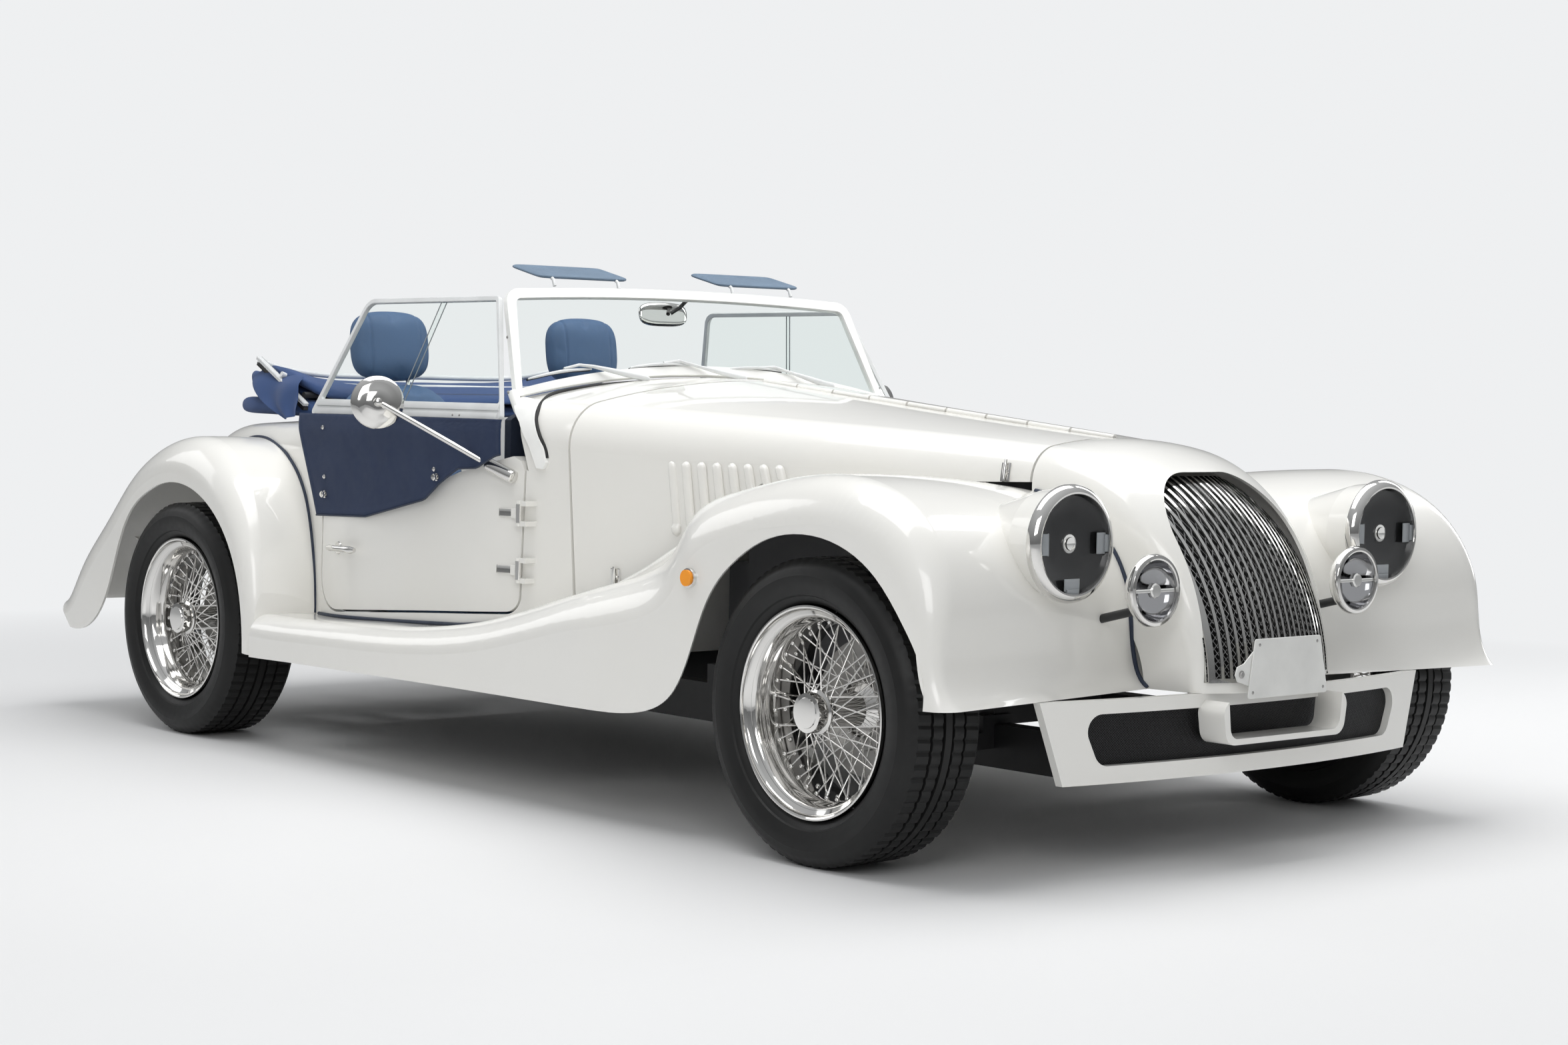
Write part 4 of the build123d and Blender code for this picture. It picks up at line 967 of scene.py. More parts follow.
class ROADSTER_OT_seats(bpy.types.Operator):
    """Stuff the seats' cushions, backs and headrests"""

    bl_idname = "roadster.seats"
    bl_label = "Seats"

    STEMS = (-0.055, 0.055)      # from a seat's middle

    def execute(self, context):
        first = None
        pads = (
            # name, half width, depth and height, powers, middle's y and z, lean in degrees, seams, waist
            ("cushion", (0.196, 0.208, 0.056), (5.0, 3.6), (0.762, 0.392), 2.0, self.cushion_seams, None),
            ("back", (0.192, 0.243, 0.034), (4.2, 3.2), (1.013, 0.714), 75.1, self.back_seams,
             self.shoulders),
            ("headrest", (0.119, 0.094, 0.040), (3.4, 2.6), (1.090, 1.042), 83.0, self.head_seams, None),
        )
        for name, side in SIDES:
            x = SEAT_X * side
            for part, half, powers, (y, z), lean, seams, waist in pads:
                mesh = stuff(soft_block(half, powers, waist=waist), part)
                press_seams(mesh, seams())
                turned = Matrix.Rotation(math.radians(lean), 4, "X")
                mesh.transform(Matrix.Translation(place(x, y, z)) @ turned)
                piece = link(f"seat_{part}_{name}", mesh, "hide", "chassis")
                first = first or piece
            self.fittings(name, x)
        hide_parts("seats")
        return {"FINISHED"}

    def shoulders(self, height):
        """Back's width along its height: full to two thirds, rounded off at the top."""
        over = max(0.0, (height - 0.55) / 0.45)
        return 1.0 - 0.16 * over ** 2

    # seams: a distance from each, how deep it draws in and how wide

    def head_seams(self):
        return [(lambda x, y, z, at=at: x - at, 0.003, 0.0035) for at in (-0.078, 0.078)]

    def back_seams(self):
        def side(x, y, z, at):
            return np.where(z < 0.02, x - at, 1.0)

        def pleat(x, y, z, at):
            panel = (abs(x) < 0.126) & (z < 0.01) & (y > -0.19) & (y < 0.13)
            return np.where(panel, y - at, 1.0)

        return [(functools.partial(side, at=at), 0.0035, 0.004) for at in (-0.128, 0.128)] + [
            (functools.partial(pleat, at=at), 0.003, 0.006) for at in (-0.15, -0.09, -0.03, 0.03, 0.09)
        ]

    def cushion_seams(self):
        def side(x, y, z, at):
            return np.where(z > -0.02, x - at, 1.0)

        def pleat(x, y, z, at):
            return np.where((abs(x) < 0.128) & (z > 0.02), y - at, 1.0)

        return [(functools.partial(side, at=at), 0.0035, 0.004) for at in (-0.13, 0.13)] + [
            (functools.partial(pleat, at=at), 0.003, 0.006) for at in (-0.12, -0.06, 0.0, 0.06, 0.12)
        ]

    def fittings(self, name, x):
        """Headrest's two stems and the seat's pan."""
        stems = bmesh.new()
        for step in self.STEMS:
            add_tube(stems, [place(x + step, 1.078, 0.925), place(x + step, 1.088, 0.99)], 0.006, 16)
        from_bmesh("headrest_stems_" + name, stems, "chrome", "chassis")
        pan = bmesh.new()
        add_block(pan, place(x - 0.205, 0.545, 0.3135), place(x + 0.205, 0.975, 0.340), bevel=0.006)
        from_bmesh("seat_pan_" + name, pan, "black", "chassis")


def catmull(points, steps, closed=False):
    """A smooth line of points through control points."""
    points = [Vector(p) for p in points]
    count = len(points)
    line = []
    for i in range(count if closed else count - 1):
        if closed:
            p0, p1, p2, p3 = (points[(i + k) % count] for k in (-1, 0, 1, 2))
        else:
            p0, p1, p2, p3 = (points[min(max(i + k, 0), count - 1)] for k in (-1, 0, 1, 2))
        for s in range(steps):
            t = s / steps
            line.append(0.5 * ((2 * p1) + (p2 - p0) * t + (2 * p0 - 5 * p1 + 4 * p2 - p3) * t * t
                               + (3 * p1 - p0 - 3 * p2 + p3) * t ** 3))
    if not closed:
        line.append(points[-1])
    return line


class ROADSTER_OT_hood(bpy.types.Operator):
    """Fold the hood's cloth and its sticks behind the seats"""

    bl_idname = "roadster.hood"
    bl_label = "Folded hood"

    # folds of the hooding seen from the side, (y, z), each a closed soft lobe
    LOBES = (
        ("hood_roll",
         ((1.215, 0.852), (1.30, 0.846), (1.45, 0.847), (1.565, 0.850), (1.597, 0.866), (1.590, 0.890),
          (1.545, 0.902), (1.44, 0.902), (1.32, 0.905), (1.235, 0.895), (1.205, 0.872))),
        ("hood_fold",
         ((1.290, 0.906), (1.38, 0.905), (1.47, 0.906), (1.535, 0.914), (1.548, 0.938), (1.552, 0.966),
          (1.528, 0.981), (1.490, 0.976), (1.452, 0.965), (1.40, 0.962), (1.33, 0.952), (1.285, 0.93))),
        ("hood_top",
         ((1.185, 0.905), (1.24, 0.912), (1.31, 0.955), (1.38, 0.968), (1.45, 0.972), (1.475, 0.986),
          (1.462, 1.002), (1.41, 0.998), (1.33, 0.985), (1.26, 0.960), (1.20, 0.935))),
    )
    ROWS = 132                   # rings of points across the car
    HALF_WIDTH, STEP_IN = 0.532, 0.012   # of the lowest fold, and how much less each next one has
    GATHER_FROM = 0.88           # share of the half width past which a fold's end is drawn in
    DECK = 0.848                 # height of the body's top under the folds
    SLUMP = 0.36                 # share of their height that the folds lose between the sticks
    FLAP_RUN = 0.245
    # the side flap's front and back edges, downwards, from mid-wheelbase
    FLAP_EDGES = (
        ((0.500, 1.235, 0.955), (0.535, 1.215, 0.930), (0.552, 1.200, 0.885), (0.556, 1.190, 0.850)),
        ((0.500, 1.470, 0.975), (0.537, 1.455, 0.940), (0.553, 1.36, 0.880), (0.556, 1.255, 0.838)),
    )
    FLAP_COLUMNS = 26
    OUTER_STICK = ((0.520, 1.200, 0.880), (0.520, 1.452, 1.006))
    INNER_STICK = ((0.508, 1.222, 0.868), (0.508, 1.470, 0.990))
    BOWS = ((1.452, 1.002), (1.330, 0.962))      # y and z of each one's ends
    BOW_DROP = 0.27              # share of its height over the deck that a bow's middle drops

    def execute(self, context):
        first = None
        for number, (name, outline) in enumerate(self.LOBES):
            piece = self.lobe(name, outline, number)
            first = first or piece
        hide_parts("folded_hood")
        for name, side in SIDES:
            self.flap(name, side)
        self.sticks()
        return {"FINISHED"}

    def lobe(self, name, outline, number):
        """One fold across the car, its ends gathered in and its run creased."""
        reach = self.HALF_WIDTH - self.STEP_IN * number
        ring_line = catmull([(y, z, 0) for y, z in outline], 8, closed=True)
        centre = sum(ring_line, Vector()) / len(ring_line)
        shape = bmesh.new()
        rings = []
        for row in range(self.ROWS + 1):
            share = row / self.ROWS * 2 - 1
            x = reach * share
            end = max(0.0, (abs(share) - self.GATHER_FROM) / (1 - self.GATHER_FROM))
            size = math.sqrt(max(0.0, 1 - end ** 2.2)) * 0.985 + 0.015
            ring = []
            slump = self.SLUMP * (1 - min(abs(x) / 0.50, 1.0) ** 5)
            for index, spot in enumerate(ring_line):
                turn = index / len(ring_line) * 2 * math.pi
                crease = math.sin(x * 21 + turn * 2 + number) * 0.45
                crease += math.sin(x * 47 - turn * 3 + number * 2) * 0.3
                crease += math.sin(x * 9 + turn + number * 4) * 0.6
                out = spot - centre
                y = centre.x + out.x * (size * (1 + 0.006 * crease))
                z = centre.y + out.y * (size * (1 + 0.035 * crease)) * 0.93
                ring.append(shape.verts.new(place(x, y, self.DECK + (z - self.DECK) * (1 - slump))))
            rings.append(ring)
        for here, there in zip(rings, rings[1:]):
            add_band(shape, here, there)
        shape.faces.new(rings[0])
        shape.faces.new(rings[-1][::-1])
        piece = from_bmesh(name, shape, "hooding", "chassis", 80.0)
        return piece

    def flap(self, name, side):
        """Quarter cloth hanging over the end of the folds."""
        shape = bmesh.new()
        front, back = (catmull(edge, 8) for edge in self.FLAP_EDGES)
        grid = []
        for a, b in zip(front, back):
            line = []
            for step in range(self.FLAP_COLUMNS + 1):
                t = step / self.FLAP_COLUMNS
                x, y, z = a.lerp(b, t)
                sag = 0.006 * math.sin(t * math.pi * 3 + a.z * 40) - 0.003 * math.cos(t * 9 + a.z * 70)
                line.append(shape.verts.new(place((x + sag * 0.8) * side, y, z)))
            grid.append(line)
        for here, there in zip(grid, grid[1:]):
            for k in range(self.FLAP_COLUMNS):
                quad = (here[k], here[k + 1], there[k + 1], there[k])
                shape.faces.new(quad if side > 0 else quad[::-1])
        mesh = mesh_of(shape, "flap")
        piece = link("hood_flap_" + name, mesh, "hooding", "chassis")
        thicken(piece, 0.002, 0.0)
        finer = piece.modifiers.new("finer", "SUBSURF")
        finer.levels = finer.render_levels = 1

    def sticks(self):
        """Hood frame: two flat bars a side and the bows across."""
        silver, black = bmesh.new(), bmesh.new()
        for _, side in SIDES:
            for bars, ends in ((silver, self.OUTER_STICK), (black, self.INNER_STICK)):
                a, b = mirror_points(ends, side)
                add_block(bars, (-0.007, -0.0035, 0), (0.007, 0.0035, (b - a).length),
                          frame_of(place(*a), b - a), 0.0015)
        for y, z in self.BOWS:
            drop = (z - self.DECK) * self.BOW_DROP
            line = catmull([(-0.520, y, z), (-0.46, y, z - drop * 0.5), (-0.3, y, z - drop),
                            (0.0, y, z - drop), (0.3, y, z - drop), (0.46, y, z - drop * 0.5),
                            (0.520, y, z)], 6)
            add_tube(silver, [place(*p) for p in line], 0.0075, 16)
        add_tube(black, [place(x, 1.232, 0.905) for x in (-0.508, 0.0, 0.508)], 0.009, 16)
        from_bmesh("hood_sticks", silver, "silver", "chassis")
        from_bmesh("hood_bows", black, "black", "chassis")


# --- trim ----------------------------------------------------------------


def tree_of(node):
    """Ray-casting tree of a frame node's surface."""
    return BVHTree.FromObject(frame["nodes"][node], bpy.context.evaluated_depsgraph_get())


def on_surface(tree, start, along):
    """Point and outward normal where a ray from a mid-wheelbase point meets a surface."""
    spot, normal, _, _ = tree.ray_cast(place(*start), Vector(along))
    if spot is None:
        raise RuntimeError(f"nothing to sit on from {tuple(start)}")
    return spot, normal


def stud_row():
    """Domed studs along X."""
    made = Pattern("stud row", "chrome", Count=4, Pitch=0.02, Radius=0.003, Dome=0.5)
    line = made.node("GeometryNodeMeshLine", {"mode": "OFFSET"}, Count=made.given("Count"),
                     Offset=made.point(made.given("Pitch"), 0.0, 0.0))
    ball = made.node("GeometryNodeMeshUVSphere", Radius=made.given("Radius"), Segments=12, Rings=6)
    flat = made.point(1.0, 1.0, made.given("Dome"))
    dome = made.node("GeometryNodeTransform", Geometry=made.out(ball), Scale=flat)
    row = made.node("GeometryNodeInstanceOnPoints", Points=made.out(line), Instance=made.out(dome))
    return made.end(made.out(row))


def row_pose(start, end, out):
    """Matrix whose X runs from start to end and whose Z points out."""
    along = (Vector(end) - Vector(start)).normalized()
    z = Vector(out) - along * Vector(out).dot(along)
    z.normalize()
    pose = Matrix((along, z.cross(along), z)).transposed().to_4x4()
    pose.translation = Vector(start)
    return pose


class ROADSTER_OT_side_cloths(bpy.types.Operator):
    """Hang the navy cloths under the side screens"""

    bl_idname = "roadster.side_cloths"
    bl_label = "Side cloths"

    FOOT = ((0.066, 0.777), (0.086, 0.773), (0.150, 0.743), (0.220, 0.739), (0.290, 0.701), (0.350, 0.659),
            (0.480, 0.631), (0.600, 0.606), (0.829, 0.600))
    TOP = ((0.066, 0.861), (0.932, 0.861))
    # y and z of the small studs and the turning knobs
    STUDS = ((0.800, 0.826), (0.790, 0.700), (0.312, 0.735))
    KNOBS = ((0.788, 0.655), (0.302, 0.716))
    STUD = ((0.0, 0.0045), (0.0035, 0.0040), (0.0058, 0.0015), (0.0060, -0.002), (0.0, -0.002))
    KNOB = ((0.0, 0.0125), (0.0065, 0.0120), (0.0085, 0.0100), (0.0085, 0.0065), (0.0045, 0.0050),
            (0.0045, 0.0025), (0.0095, 0.0015), (0.0095, -0.002), (0.0, -0.002))
    COLUMNS, ROWS = 170, 44
    # how deep the cloth sits in its solid, how much it ripples and how much a hem stands up
    REST_DEPTH, RIPPLE, HEM = 0.0014, 0.0009, 0.0009
    BINDING_STEPS = 60

    def edge(self, line, share):
        """Point along a line of (y, z) at a share of its y."""
        y = line[0][0] + (line[-1][0] - line[0][0]) * share
        return y, float(np.interp(y, *zip(*line)))

    def execute(self, context):
        for name, side in SIDES:
            tree = tree_of("side_cloth_" + name)
            mesh = self.woven_panel(tree, side)
            body = "door_" + name
            cloth = link("side_cloth_panel_" + name, mesh, "screens", body)
            thicken(cloth, 0.0018, -1.0)
            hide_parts("side_cloth_" + name)
            binding = bmesh.new()
            steps = self.BINDING_STEPS
            points = [self.seat(tree, *self.edge(self.FOOT, i / steps), side) for i in range(steps + 1)]
            add_tube(binding, points, 0.0021, 10)
            from_bmesh("side_cloth_binding_" + name, binding, "trim_hide", body)
            self.fasteners(name, side, tree, body)
        return {"FINISHED"}

    def woven_panel(self, tree, side):
        """The cloth as a grid of points over its solid, rippled a little and thicker at its hems."""
        shape = bmesh.new()
        grid = []
        for i in range(self.COLUMNS + 1):
            foot, top = (self.edge(line, i / self.COLUMNS) for line in (self.FOOT, self.TOP))
            line = []
            for j in range(self.ROWS + 1):
                share = j / self.ROWS
                y, z = (a + (b - a) * share for a, b in zip(foot, top))
                in_hem = not 0.06 <= share <= 0.95 or min(i, self.COLUMNS - i) < 3
                ripple = math.sin(y * 34 + z * 11) * 0.5 + math.sin(y * 71 - z * 46) * 0.3
                ripple += math.sin(z * 58 + y * 13) * 0.2
                depth = self.REST_DEPTH - self.RIPPLE * ripple * math.sin(math.pi * share)
                spot = self.seat(tree, y, z, side)
                spot.x -= side * (depth - self.HEM if in_hem else depth)
                line.append(shape.verts.new(spot))
            grid.append(line)
        for here, there in zip(grid, grid[1:]):
            for j in range(self.ROWS):
                quad = (here[j], there[j], there[j + 1], here[j + 1])
                shape.faces.new(quad if side > 0 else quad[::-1])
        return mesh_of(shape, "cloth")

    def seat(self, tree, y, z, side):
        """Point on the cloth's solid beside a place on the door."""
        spot = place(0.72 * side, y, z)
        spot.x = tree.find_nearest(spot)[0].x
        return spot

    def fasteners(self, name, side, tree, body):
        """Studs and turning knobs that hold the cloth to its door."""
        shape = bmesh.new()
        for spots, profile, steps in ((self.STUDS, self.STUD, 24), (self.KNOBS, self.KNOB, 28)):
            for y, z in spots:
                add_knob(shape, profile, frame_of(self.seat(tree, y, z, side), (side, 0, 0)), steps)
        from_bmesh("side_cloth_studs_" + name, shape, "chrome", body)


COWL_SEAM = ((0.219, -1.585, 0.352), (0.223, -1.562, 0.380), (0.231, -1.553, 0.436), (0.237, -1.552, 0.492),
             (0.240, -1.546, 0.548), (0.243, -1.538, 0.576), (0.248, -1.507, 0.632), (0.255, -1.444, 0.688),
             (0.260, -1.360, 0.728), (0.262, -1.300, 0.742))


class ROADSTER_OT_piping(bpy.types.Operator):
    """Lay the navy beading between wings and body, and the flanges under the bonnet"""

    bl_idname = "roadster.piping"
    bl_label = "Wing piping"

    REAR = ((0.690, 0.858, 0.345), (0.688, 0.861, 0.400), (0.685, 0.870, 0.450), (0.682, 0.884, 0.500),
            (0.677, 0.904, 0.550), (0.670, 0.929, 0.600), (0.662, 0.963, 0.650), (0.655, 1.010, 0.700),
            (0.650, 1.060, 0.736), (0.646, 1.100, 0.757), (0.637, 1.200, 0.787), (0.626, 1.300, 0.788),
            (0.612, 1.400, 0.764), (0.596, 1.500, 0.718), (0.578, 1.600, 0.650), (0.553, 1.700, 0.562),
            (0.522, 1.800, 0.480))
    BOARD = ((0.604, -0.060, 0.404), (0.641, 0.020, 0.388), (0.658, 0.080, 0.378), (0.669, 0.150, 0.369),
             (0.672, 0.220, 0.362), (0.675, 0.300, 0.3585), (0.681, 0.400, 0.3545), (0.693, 0.500, 0.3515),
             (0.707, 0.600, 0.3495), (0.7145, 0.700, 0.3475), (0.710, 0.780, 0.3465), (0.703, 0.820, 0.3465))
    # painted flange that the bonnet's foot rests on, along the wing's inner edge
    REST = ((0.290, -1.180, 0.746), (0.324, -1.060, 0.739), (0.358, -0.940, 0.728), (0.390, -0.820, 0.724),
            (0.422, -0.700, 0.720), (0.444, -0.640, 0.706), (0.457, -0.580, 0.676), (0.477, -0.520, 0.641),
            (0.508, -0.460, 0.598), (0.524, -0.400, 0.561), (0.539, -0.340, 0.524), (0.553, -0.280, 0.494),
            (0.566, -0.220, 0.466), (0.578, -0.160, 0.440))
    REST_SHIFT = (-0.007, 0.0, -0.004)
    # radius, sides, and steps between a line's points
    FLANGE, PIPING = (0.0135, 20, 5), (0.0046, 12, 6)

    def execute(self, context):
        for name, side in SIDES:
            rest = [Vector(p) + Vector(self.REST_SHIFT) for p in self.REST]
            self.bead("bonnet_rest_" + name, rest, side, self.FLANGE, ("paint", "paint_pearl"))
            for part, line in (("rear_piping", self.REAR), ("board_piping", self.BOARD),
                               ("cowl_piping", COWL_SEAM)):
                self.bead(f"{part}_{name}", line, side, self.PIPING, ("trim_hide", "blue_leather"))
        return {"FINISHED"}

    def bead(self, name, line, side, form, looks):
        """A round bead along a line; its form is a radius, its sides and its steps between points."""
        (radius, sides, steps), (finish, slot) = form, looks
        shape = bmesh.new()
        add_tube(shape, [place(*p) for p in catmull(mirror_points(line, side), steps)], radius, sides)
        from_bmesh(name, shape, finish, "chassis", 60.0)


class ROADSTER_OT_louvres(bpy.types.Operator):
    """Press the louvres' rounded hoods into the bonnet's sides"""

    bl_idname = "roadster.louvres"
    bl_label = "Louvres"

    # the rearmost one's y, the step to the next and how far a foot stands forward of its head
    FIRST, PITCH, LEAN = -0.385, -0.041, -0.012
    HEAD = 0.770                 # height of their tops; FEET are those of their lower ends
    FEET = (0.612, 0.624, 0.648, 0.674, 0.697, 0.714, 0.730, 0.742)
    HALF_WIDTH, PROUD, SUNK = 0.0130, 0.0125, 0.0012
    ALONG, ACROSS = 40, 16

    def execute(self, context):
        for name, side in SIDES:
            tree = tree_of("bonnet_" + name)
            shape = bmesh.new()
            for number, foot in enumerate(self.FEET):
                self.hood(shape, tree, side, self.FIRST + number * self.PITCH, foot)
            bmesh.ops.recalc_face_normals(shape, faces=shape.faces)
            from_bmesh("louvres_" + name, shape, "paint", "bonnet_" + name, 60.0)
        return {"FINISHED"}

    def skin(self, tree, side, y, z):
        """Point of the plain skin at a louvre, between its neighbours' gaps."""
        reach = []
        for at in (y - self.PITCH / 2, y + self.PITCH / 2):
            spot = place(0.5 * side, at, z)
            for _ in range(4):
                spot.x = tree.find_nearest(spot)[0].x
            reach.append(spot)
        return (reach[0] + reach[1]) / 2

    def hood(self, shape, tree, side, y, foot):
        """One hood: half ellipses along a leaning line, shrinking at both ends."""
        length = self.HEAD - foot + self.HALF_WIDTH
        rings = []
        for i in range(self.ALONG + 1):
            way = (1 - math.cos(math.pi * i / self.ALONG)) / 2 * length
            near_end = min(way, length - way, self.HALF_WIDTH)
            scale = math.sqrt(max(1 - (1 - near_end / self.HALF_WIDTH) ** 2, 0.0004))
            z = self.HEAD + self.HALF_WIDTH / 2 - way
            middle = self.skin(tree, side, y + self.LEAN * way / length, z)
            ring = []
            for j in range(self.ACROSS + 1):
                turn = math.pi * j / self.ACROSS
                out = self.PROUD * scale * math.sin(turn) - self.SUNK
                across = self.HALF_WIDTH * scale * math.cos(turn)
                ring.append(shape.verts.new(middle + Vector((side * out, across, 0.0))))
            rings.append(ring)
        for here, there in zip(rings, rings[1:]):
            for j in range(self.ACROSS):
                shape.faces.new((here[j], here[j + 1], there[j + 1], there[j]))
            shape.faces.new((here[-1], here[0], there[0], there[-1]))
        shape.faces.new(rings[0])
        shape.faces.new(rings[-1][::-1])


class ROADSTER_OT_dials(bpy.types.Operator):
    """Set the instruments in the dashboard: plain faces with bare marks"""

    bl_idname = "roadster.dials"
    bl_label = "Dials"

    FACE = 0.077                 # the dashboard's face, aft of mid-wheelbase
    MARKS, MAJOR = 13, 3         # every third mark is a long one
    SWEEP, NEEDLE = 300, 132     # degrees from the first mark to the last, and at which a needle rests
    MARK_REACH = 0.86            # share of the radius that the marks end at
    BEZEL = ((-0.004, 0.0), (0.0015, 0.0), (0.001, 0.004), (-0.002, 0.0058), (-0.004, 0.0040))
    # x, z and radius of each
    DIALS = ((-0.085, 0.850, 0.050), (0.085, 0.850, 0.050), (-0.195, 0.868, 0.027), (-0.195, 0.800, 0.027),
             (0.195, 0.868, 0.027), (0.195, 0.800, 0.027))

    def execute(self, context):
        rings, faces, marks, glasses = (bmesh.new() for _ in range(4))
        for x, z, radius in self.DIALS:
            pose = row_pose(place(x, self.FACE, z), place(x + 0.01, self.FACE, z), (0, 1, 0))
            add_lathe(rings, [(radius + out, up) for out, up in self.BEZEL], pose, 48)
            add_knob(faces, ((radius - 0.003, 0.0012), (0.0, 0.0012)), pose, 48)
            add_knob(glasses, ((radius - 0.0035, 0.0034), (0.0, 0.0042)), pose, 48)
            rim = radius * self.MARK_REACH
            for step in range(self.MARKS):
                angle = self.SWEEP * (step / (self.MARKS - 1) - 0.5)
                turn = pose @ Matrix.Rotation(math.radians(angle), 4, "Z")
                long = radius * (0.16 if step % self.MAJOR == 0 else 0.09)
                add_block(marks, (-0.0006, rim - long, 0.0012), (0.0006, rim, 0.0016), turn, 0.0001)
            needle = pose @ Matrix.Rotation(math.radians(self.NEEDLE), 4, "Z")
            add_block(marks, (-0.0008, -radius * 0.12, 0.0018), (0.0008, radius * 0.74, 0.0023), needle,
                      0.0001)
            add_knob(marks, ((0.0, 0.0028), (radius * 0.10, 0.0026), (radius * 0.11, 0.0016)), pose, 24)
        from_bmesh("dial_bezels", rings, "chrome", "chassis")
        from_bmesh("dial_faces", faces, "bowl", "chassis")
        from_bmesh("dial_marks", marks, "white", "chassis")
        from_bmesh("dial_glasses", glasses, "lens", "chassis")
        return {"FINISHED"}


class ROADSTER_OT_fittings(bpy.types.Operator):
    """Fit handles, hinges, catches, lamp rings and screws"""

    bl_idname = "roadster.fittings"
    bl_label = "Fittings"

    HANDLE = (0.722, 0.521)                  # y and z of its stem on the door
    HANDLE_ROSE = ((0.0, 0.0035), (0.0145, 0.0030), (0.0165, 0.0), (0.0, -0.001))
    HANDLE_STEM = ((0.0, 0.0255), (0.0072, 0.0250), (0.0080, 0.0225), (0.0062, 0.0180), (0.0062, 0.0))
    HANDLE_REACH = 0.0235
    LEVER = ((0, 0.012, 0), (0, 0, 0), (0, -0.025, 0), (-0.001, -0.060, 0), (-0.003, -0.092, -0.001),
             (-0.006, -0.104, -0.001))
    LEVER_RADII = (0.0060, 0.0088, 0.0076, 0.0086, 0.0100, 0.0060)
    HINGE_HEIGHTS = (0.505, 0.640)
    HINGE_PIN = (0.647, 0.016)               # x and y
    RAIL_SCREWS = (0.255, 0.560, 0.700)      # y of each pair along the side screen's foot rail
    POST_SCREWS = (0.93, 1.07)               # heights up the windscreen's post
    CATCHES = ((-0.225, 0.500), (-1.225, 0.778))     # y and z
    CATCH_KNOB = ((0.0, 0.0105), (0.0055, 0.0100), (0.0065, 0.0075), (0.0065, 0.0))
    CATCH_BAR = ((0.0, -0.022, 0.0075), (0.0, 0.0, 0.0085), (0.0, 0.026, 0.0075))
    REPEATER = (0.888, -0.915, 0.554)
    REPEATER_RING = ((0.0172, -0.016), (0.0205, -0.016), (0.0212, -0.010), (0.0200, -0.006),
                     (0.0172, -0.0055))
    TAIL_LAMP = (0.700, 1.815, 0.520)
    TAIL_RING = ((0.0315, -0.030), (0.0350, -0.030), (0.0362, -0.014), (0.0345, -0.006), (0.0315, -0.005))
    # the number plate and its bracket's ear: corners in x and z, then their backs and fronts in y
    PLATE = ((-0.141, 0.343), (0.111, 0.343), (0.085, 0.462), (-0.121, 0.462))
    EAR = ((-0.176, 0.392), (-0.168, 0.378), (-0.150, 0.374), (-0.118, 0.362), (-0.118, 0.440),
           (-0.150, 0.414), (-0.170, 0.408))
    PLATE_BACK, PLATE_FRONT = -1.7790, -1.7822
    EAR_BACK, EAR_FRONT = -1.7755, -1.7785
    RIVETS = ((-0.108, 0.450), (0.074, 0.450), (-0.126, 0.355), (0.096, 0.355))
    BOLT = ((0.0, 0.0042), (0.0050, 0.0040), (0.0062, 0.0020), (0.0078, 0.0012), (0.0078, -0.0010),
            (0.0, -0.0010))

    def execute(self, context):
        studs = stud_row()
        for name, side in SIDES:
            self.door(name, side)
            self.catches(name, side)
            self.frame_screws(name, side, studs)
            self.lamp_rings(name, side)
        self.plate(studs)
        return {"FINISHED"}

    def door(self, name, side):
        """Handle and hinge leaves."""
        body, tree = "door_" + name, tree_of("door_" + name)
        handle = bmesh.new()
        spot, normal = on_surface(tree, (side, *self.HANDLE), (-side, 0, 0))
        pose = frame_of(spot, normal)
        add_knob(handle, self.HANDLE_ROSE, pose, 32)
        add_knob(handle, self.HANDLE_STEM, pose, 24)
        lever = [spot + normal * self.HANDLE_REACH + p for p in mirror_points(self.LEVER, side)]
        add_tube(handle, lever, self.LEVER_RADII, 20)
        from_bmesh("door_handle_" + name, handle, "chrome", body)
        leaf = bmesh.new()
        for z in self.HINGE_HEIGHTS:
            spot, normal = on_surface(tree, (side, 0.062, z), (-side, 0, 0))
            half = Vector((0.009 * side, 0.034, 0))
            pose = row_pose(spot - half, spot + half, normal)
            add_block(leaf, (0.0, -0.0085, -0.001), (0.068, 0.0085, 0.0025), pose, 0.001)
            x, y = self.HINGE_PIN
            add_tube(leaf, [place(x * side, y, z + end) for end in (-0.022, 0.022)], 0.0078, 20)
        from_bmesh("door_hinge_leaves_" + name, leaf, "chrome", body)

    def catches(self, name, side):
        """A bonnet half's two turn catches."""
        body = "bonnet_" + name
        tree = tree_of(body)
        catch = bmesh.new()
        for y, z in self.CATCHES:
            spot, normal = on_surface(tree, (side, y, z), (-side, 0, 0))
            pose = frame_of(spot, normal)
            add_block(catch, (-0.011, -0.020, -0.001), (0.011, 0.020, 0.003), pose, 0.0015)
            add_knob(catch, self.CATCH_KNOB, pose, 20)
            add_tube(catch, [pose @ Vector(p) for p in self.CATCH_BAR], (0.0030, 0.0046, 0.0034), 12)
        from_bmesh("bonnet_catch_" + name, catch, "chrome", body)

